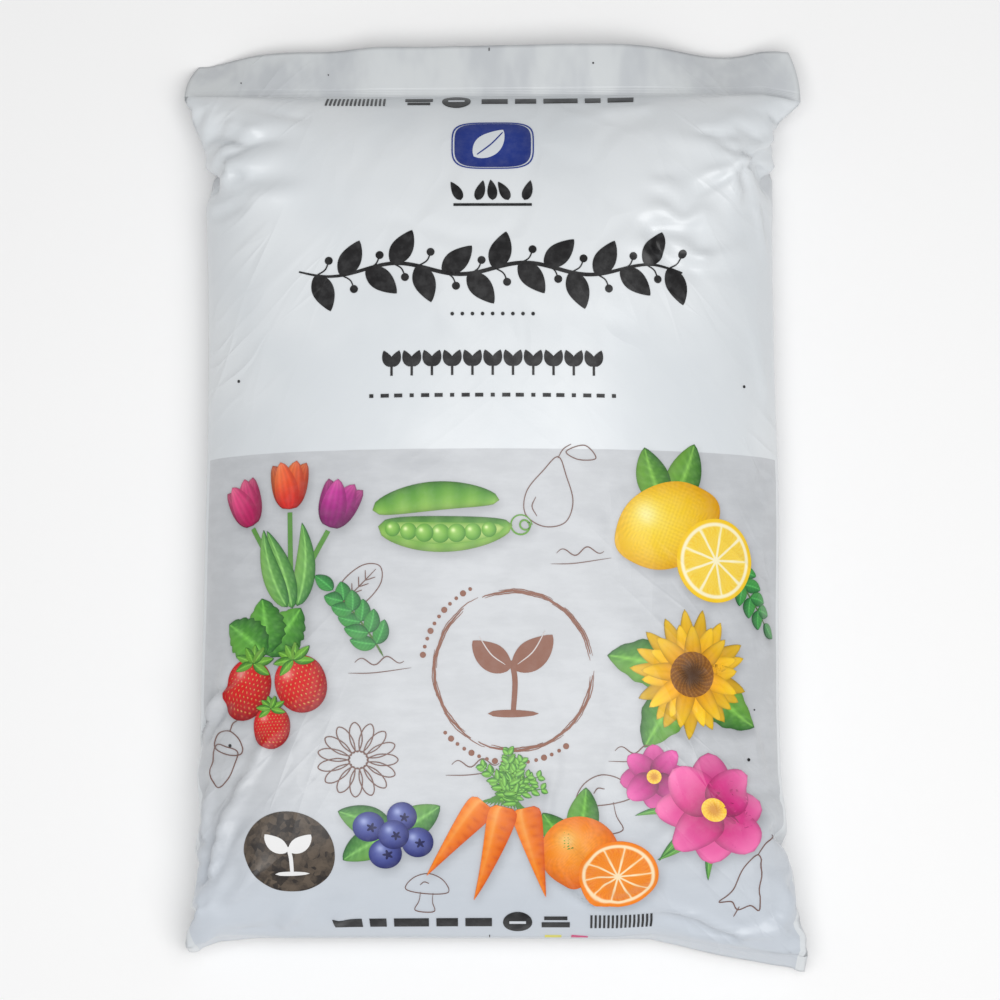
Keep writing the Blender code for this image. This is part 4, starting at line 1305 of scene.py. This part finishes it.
# The film's finish: soft waves, crinkles in patches, pulled lines, small lumps of the filling and a fine
# haze.
def surfaceGroup():
    made = bpy.data.node_groups.new("film_surface", "ShaderNodeTree")
    made.interface.new_socket("Position", in_out="INPUT", socket_type="NodeSocketVector")
    made.interface.new_socket("Height", in_out="OUTPUT", socket_type="NodeSocketFloat")
    made.interface.new_socket("Roughness", in_out="OUTPUT", socket_type="NodeSocketFloat")
    add = nodeTree(made)
    place = add("NodeGroupInput").outputs["Position"]
    slanted = add("Mapping", {"Vector": place, "Rotation": (0, 0, 0.55),
                              "Scale": (1.0, 0.42, 1.0)}).outputs[0]
    bent = add("TexNoise", {"Vector": place, "Scale": 11.0, "Detail": 2.0}).outputs["Color"]
    pushed = add("VectorMath", {0: bent, 1: (0.05, 0.05, 0.05)}, operation="MULTIPLY").outputs[0]
    warped = add("VectorMath", {0: slanted, 1: pushed}, operation="ADD").outputs[0]
    soft = add("TexNoise", {"Vector": warped, "Scale": 13.0, "Detail": 3.0, "Roughness": 0.45}).outputs[0]
    net = add("TexVoronoi", {"Vector": warped, "Scale": 24.0}, feature="DISTANCE_TO_EDGE").outputs["Distance"]
    crease = scaled(add, net, 0.0, 0.22, 0.0, 1.0)
    patch = scaled(add, add("TexNoise", {"Vector": place, "Scale": 6.5, "Detail": 1.0}).outputs[0], 0.46,
                   0.66, 0.06, 1.0)
    lumps = add("TexNoise", {"Vector": place, "Scale": 95.0, "Detail": 2.0, "Roughness": 0.5}).outputs[0]
    fine = add("TexNoise", {"Vector": place, "Scale": 900.0, "Detail": 1.0}).outputs[0]
    height = counted(add, "MULTIPLY", soft, filmFinish["soft"])
    creased = counted(add, "MULTIPLY", counted(add, "MULTIPLY", crease, patch), filmFinish["crinkle"])
    height = counted(add, "ADD", height, creased)
    height = counted(add, "MULTIPLY_ADD", pulled(add, place), filmFinish["pull"], height)
    height = counted(add, "MULTIPLY_ADD", lumps, filmFinish["lumps"], height)
    height = counted(add, "MULTIPLY_ADD", fine, filmFinish["fine"], height)
    haze = add("TexNoise", {"Vector": place, "Scale": 17.0, "Detail": 4.0}).outputs[0]
    roughness = scaled(add, haze, 0.3, 0.7, filmFinish["roughness"] - 0.05, filmFinish["roughness"] + 0.06)
    out = add("NodeGroupOutput")
    made.links.new(height, out.inputs["Height"])
    made.links.new(roughness, out.inputs["Roughness"])
    return made


filmSurface = surfaceGroup()


# A material with the film's finish on its shader; returns its node adder, tree, shader and Object
# coordinates.
def startMaterial(name):
    material = bpy.data.materials.new(name)
    material.use_nodes = True
    tree = material.node_tree
    add = nodeTree(tree)
    shader = tree.nodes["Principled BSDF"]
    place = add("TexCoord").outputs["Object"]
    finish = add("Group", node_tree=filmSurface)
    tree.links.new(place, finish.inputs["Position"])
    bump = add("Bump", {"Height": finish.outputs["Height"], "Strength": 1.0, "Distance": 1.0})
    tree.links.new(bump.outputs["Normal"], shader.inputs["Normal"])
    tree.links.new(finish.outputs["Roughness"], shader.inputs["Roughness"])
    return material, add, tree, shader, place, bump, finish


# the flap's two colours are the lit and the painted shade sides of soft bands along it
fieldColours = dict(white=(231, 235, 238), whiteDim=(222, 227, 231), flap=(219, 223, 225),
                    flapPaintedShade=(203, 207, 211),
                    low=(207, 215, 225), grey=(205, 208, 212), greyDim=(196, 199, 203), edge=0.0325,
                    side=0.1885,
                    shade=0.34)


# A colour between two, each a seen colour or a socket.
def blended(add, share, one, two):
    inputs = {"Factor": share}
    node = add("Mix", data_type="RGBA")
    for key, value in (("A", one), ("B", two)):
        socket = [entry for entry in node.inputs if entry.name == key and entry.type == "RGBA"][0]
        if isinstance(value, bpy.types.NodeSocket):
            node.id_data.links.new(value, socket)
        else:
            socket.default_value = (*srgb(*value), 1)
    node.id_data.links.new(inputs["Factor"], node.inputs[0])
    return [entry for entry in node.outputs if entry.type == "RGBA"][0]


# White film with a mottled grey field below, each in film coordinates, and the print's soft shadows.
def filmMaterial():
    material, add, tree, shader, place, bump, finish = startMaterial("printed_film")
    split = add("SeparateXYZ", {"Vector": add("UVMap", uv_map="film").outputs[0]})
    across = counted(add, "ABSOLUTE", split.outputs["X"])
    ragged = add("TexNoise", {"Vector": place, "Scale": 60.0, "Detail": 3.0}).outputs[0]
    line = counted(add, "MULTIPLY_ADD", ragged, 0.0004, split.outputs["Y"])
    below = scaled(add, line, fieldColours["edge"] - 0.0003, fieldColours["edge"] + 0.0003, 1.0, 0.0)
    inside = scaled(add, across, fieldColours["side"] - 0.0003, fieldColours["side"] + 0.0003, 1.0, 0.0)
    field = counted(add, "MULTIPLY", below, inside)
    cloud = add("TexNoise", {"Vector": place, "Scale": 21.0, "Detail": 7.0, "Roughness": 0.62}).outputs[0]
    drawn = add("Mapping", {"Vector": place, "Scale": (1.0, 3.0, 1.0)}).outputs[0]
    streak = add("TexNoise", {"Vector": drawn, "Scale": 48.0, "Detail": 5.0, "Roughness": 0.6}).outputs[0]
    mottle = scaled(add, counted(add, "ADD", cloud, streak), 0.75, 1.25, 0.0, 1.0)
    grey = blended(add, mottle, fieldColours["greyDim"], fieldColours["grey"])
    dim = scaled(add, add("TexNoise", {"Vector": place, "Scale": 9.0, "Detail": 3.0}).outputs[0], 0.35, 0.65,
                 0.0, 1.0)
    white = blended(add, dim, fieldColours["whiteDim"], fieldColours["white"])
    low = scaled(add, split.outputs["Y"], -0.255, -0.150, 0.8, 0.0)
    grey = blended(add, low, grey, fieldColours["low"])
    colour = blended(add, field, white, grey)
    atFlap = scaled(add, split.outputs["Y"], filmTube["length"] / 2 - 0.001, filmTube["length"] / 2 + 0.002,
                    0.0, 1.0)
    # on the flap, the thin film's own colour, a little darker than the printed white, in soft lighter and
    # darker bands along it: painted light and shade of the flap's waves
    flapShadeBands = add("Mapping", {"Vector": place, "Scale": (1.0, 0.3, 1.0)}).outputs[0]
    flapShadeBands = add("TexNoise", {"Vector": flapShadeBands, "Scale": 34.0, "Detail": 3.0, "Roughness": 0.6}).outputs[0]
    flap = blended(add, scaled(add, flapShadeBands, 0.36, 0.62, 0.0, 1.0), fieldColours["flapPaintedShade"],
                   fieldColours["flap"])
    colour = blended(add, atFlap, colour, flap)
    colour = blended(add, add("Attribute", attribute_name="film_back").outputs["Fac"], colour,
                     (215, 219, 223))
    shade = counted(add, "MULTIPLY", add("Attribute", attribute_name="print_shadow").outputs["Fac"],
                    fieldColours["shade"])
    colour = blended(add, shade, colour, (60, 62, 70))
    tree.links.new(colour, shader.inputs["Base Color"])
    # the welds: a pressed line and fine ribs beyond it
    beyond = counted(add, "SUBTRACT", counted(add, "ABSOLUTE", split.outputs["Y"]), filmTube["length"] / 2)
    band = counted(add, "MULTIPLY", scaled(add, beyond, -0.0006, 0.0002, 0.0, 1.0),
                   scaled(add, beyond, 0.0058, 0.0066, 1.0, 0.0))
    ribs = counted(add, "SINE", counted(add, "MULTIPLY", beyond, 2 * math.pi / 0.0011))
    pressed = counted(add, "MULTIPLY", band, counted(add, "MULTIPLY_ADD", ribs, 0.000035, -0.00018))
    total = counted(add, "ADD", finish.outputs["Height"], pressed)
    tree.links.new(total, bump.inputs["Height"])
    shader.inputs["Coat Weight"].default_value = 0.20
    shader.inputs["Coat Roughness"].default_value = 0.20
    return material


# Printed ink on the film: the mark's own colours, a little uneven.
def inkMaterial(name):
    material, add, tree, shader, place, bump, finish = startMaterial(name)
    ink = add("Attribute", attribute_name="ink").outputs["Color"]
    uneven = add("TexNoise", {"Vector": place, "Scale": 160.0, "Detail": 4.0, "Roughness": 0.6}).outputs[0]
    share = scaled(add, uneven, 0.35, 0.75, 0.0, 0.035)
    tree.links.new(blended(add, share, ink, (236, 238, 240)), shader.inputs["Base Color"])
    shader.inputs["Specular IOR Level"].default_value = 0.35
    shader.inputs["Coat Weight"].default_value = 0.08
    shader.inputs["Coat Roughness"].default_value = 0.20
    return material


# The badge's printed soil: dark crumbs among paler ones.
def soilMaterial(name):
    material, add, tree, shader, place, bump, finish = startMaterial(name)
    crumbs = add("TexVoronoi", {"Vector": place, "Scale": 260.0, "Randomness": 1.0}).outputs["Color"]
    tone = add("SeparateColor", {"Color": crumbs}).outputs[0]
    cloud = add("TexNoise", {"Vector": place, "Scale": 110.0, "Detail": 6.0, "Roughness": 0.7}).outputs[0]
    mixed = scaled(add, counted(add, "MULTIPLY_ADD", tone, 0.35, cloud), 0.45, 0.95, 0.0, 1.0)
    tree.links.new(blended(add, mixed, (44, 39, 37), (98, 86, 74)), shader.inputs["Base Color"])
    return material


bagFilm.data.materials.append(filmMaterial())
triangleCount = 0
for name, marks in printPieces:
    piece = makePrint(name, marks)
    ink = name.replace("print_", "ink_")
    material = soilMaterial("ink_soil") if name == "print_badge" else inkMaterial(ink)
    piece.data.materials.append(material)
    piece.data.set_sharp_from_angle(angle=0.9)
    triangleCount += len(piece.data.loops) - 2 * len(piece.data.polygons)
shade = printShadow(sum((marks for name, marks in printPieces if name in shadowed), []))
onFront = np.zeros(len(bagFilm.data.vertices), dtype=np.float32)
onFront[:shade.size] = shade.ravel()
bagFilm.data.attributes.new("print_shadow", "FLOAT", "POINT").data.foreach_set("value", onFront)
print("print pieces", len(printPieces), "triangles", triangleCount)


# A material of one colour, for what isn't part of the bag.
def plainMaterial(name, colour, roughness):
    material = bpy.data.materials.new(name)
    material.use_nodes = True
    shader = material.node_tree.nodes["Principled BSDF"]
    shader.inputs["Base Color"].default_value = (*colour, 1)
    shader.inputs["Roughness"].default_value = roughness
    return material


# Camera, light and floor
cameraSettings = dict(distance=2.3, elevation=85.5, pixel=0.00061, aimX=0.0044, aimY=0.0012, aimZ=0.035)
lightSettings = dict(sky=0.38, lampPower=27, lampSize=1.7, lampAt=(0.15, -0.36, 1.85))


# Camera over the bag, a little towards its bottom end, with a soft lamp and a pale floor.
def setStage():
    scene = bpy.context.scene
    angle = math.radians(cameraSettings["elevation"])
    aim = np.array((cameraSettings["aimX"], cameraSettings["aimY"], cameraSettings["aimZ"]))
    back = np.array((0, -math.cos(angle), math.sin(angle)))
    camera = bpy.data.objects.new("camera", bpy.data.cameras.new("camera"))
    scene.collection.objects.link(camera)
    camera.location = aim + back * cameraSettings["distance"]
    camera.rotation_euler = (math.radians(90) - angle, 0, 0)
    camera.data.sensor_width = 36
    camera.data.lens = 36 * cameraSettings["distance"] / (1000 * cameraSettings["pixel"])
    camera.data.clip_start = 0.01
    scene.camera = camera

    lamp = bpy.data.objects.new("soft_lamp", bpy.data.lights.new("soft_lamp", "AREA"))
    scene.collection.objects.link(lamp)
    lamp.data.shape = "SQUARE"
    lamp.data.size = lightSettings["lampSize"]
    lamp.data.energy = lightSettings["lampPower"]
    lamp.location = lightSettings["lampAt"]
    aimed = np.array((0, 0, 0)) - np.array(lamp.location)
    lamp.rotation_euler = mathutils.Vector(aimed).to_track_quat("-Z", "Y").to_euler()

    world = bpy.data.worlds.new("studio")
    world.use_nodes = True
    tree = world.node_tree
    background = tree.nodes["Background"]
    path = tree.nodes.new("ShaderNodeLightPath")
    strength = tree.nodes.new("ShaderNodeMix")
    strength.data_type = "FLOAT"
    tree.links.new(path.outputs["Is Camera Ray"], strength.inputs["Factor"])
    strength.inputs["A"].default_value = lightSettings["sky"]
    strength.inputs["B"].default_value = 1.0
    background.inputs["Color"].default_value = (1, 1, 1, 1)
    tree.links.new(strength.outputs["Result"], background.inputs["Strength"])
    scene.world = world
    scene.view_settings.view_transform = "Standard"

    floorSide = 3.0
    corners = [(-floorSide, -floorSide, 0), (floorSide, -floorSide, 0), (floorSide, floorSide, 0),
               (-floorSide, floorSide, 0)]
    floor = meshObject("floor", corners, [(0, 1, 2, 3)], smooth=False)
    floor.location.z = -0.0005
    floor.data.materials.append(plainMaterial("floor", (0.97, 0.97, 0.97), 0.8))


setStage()
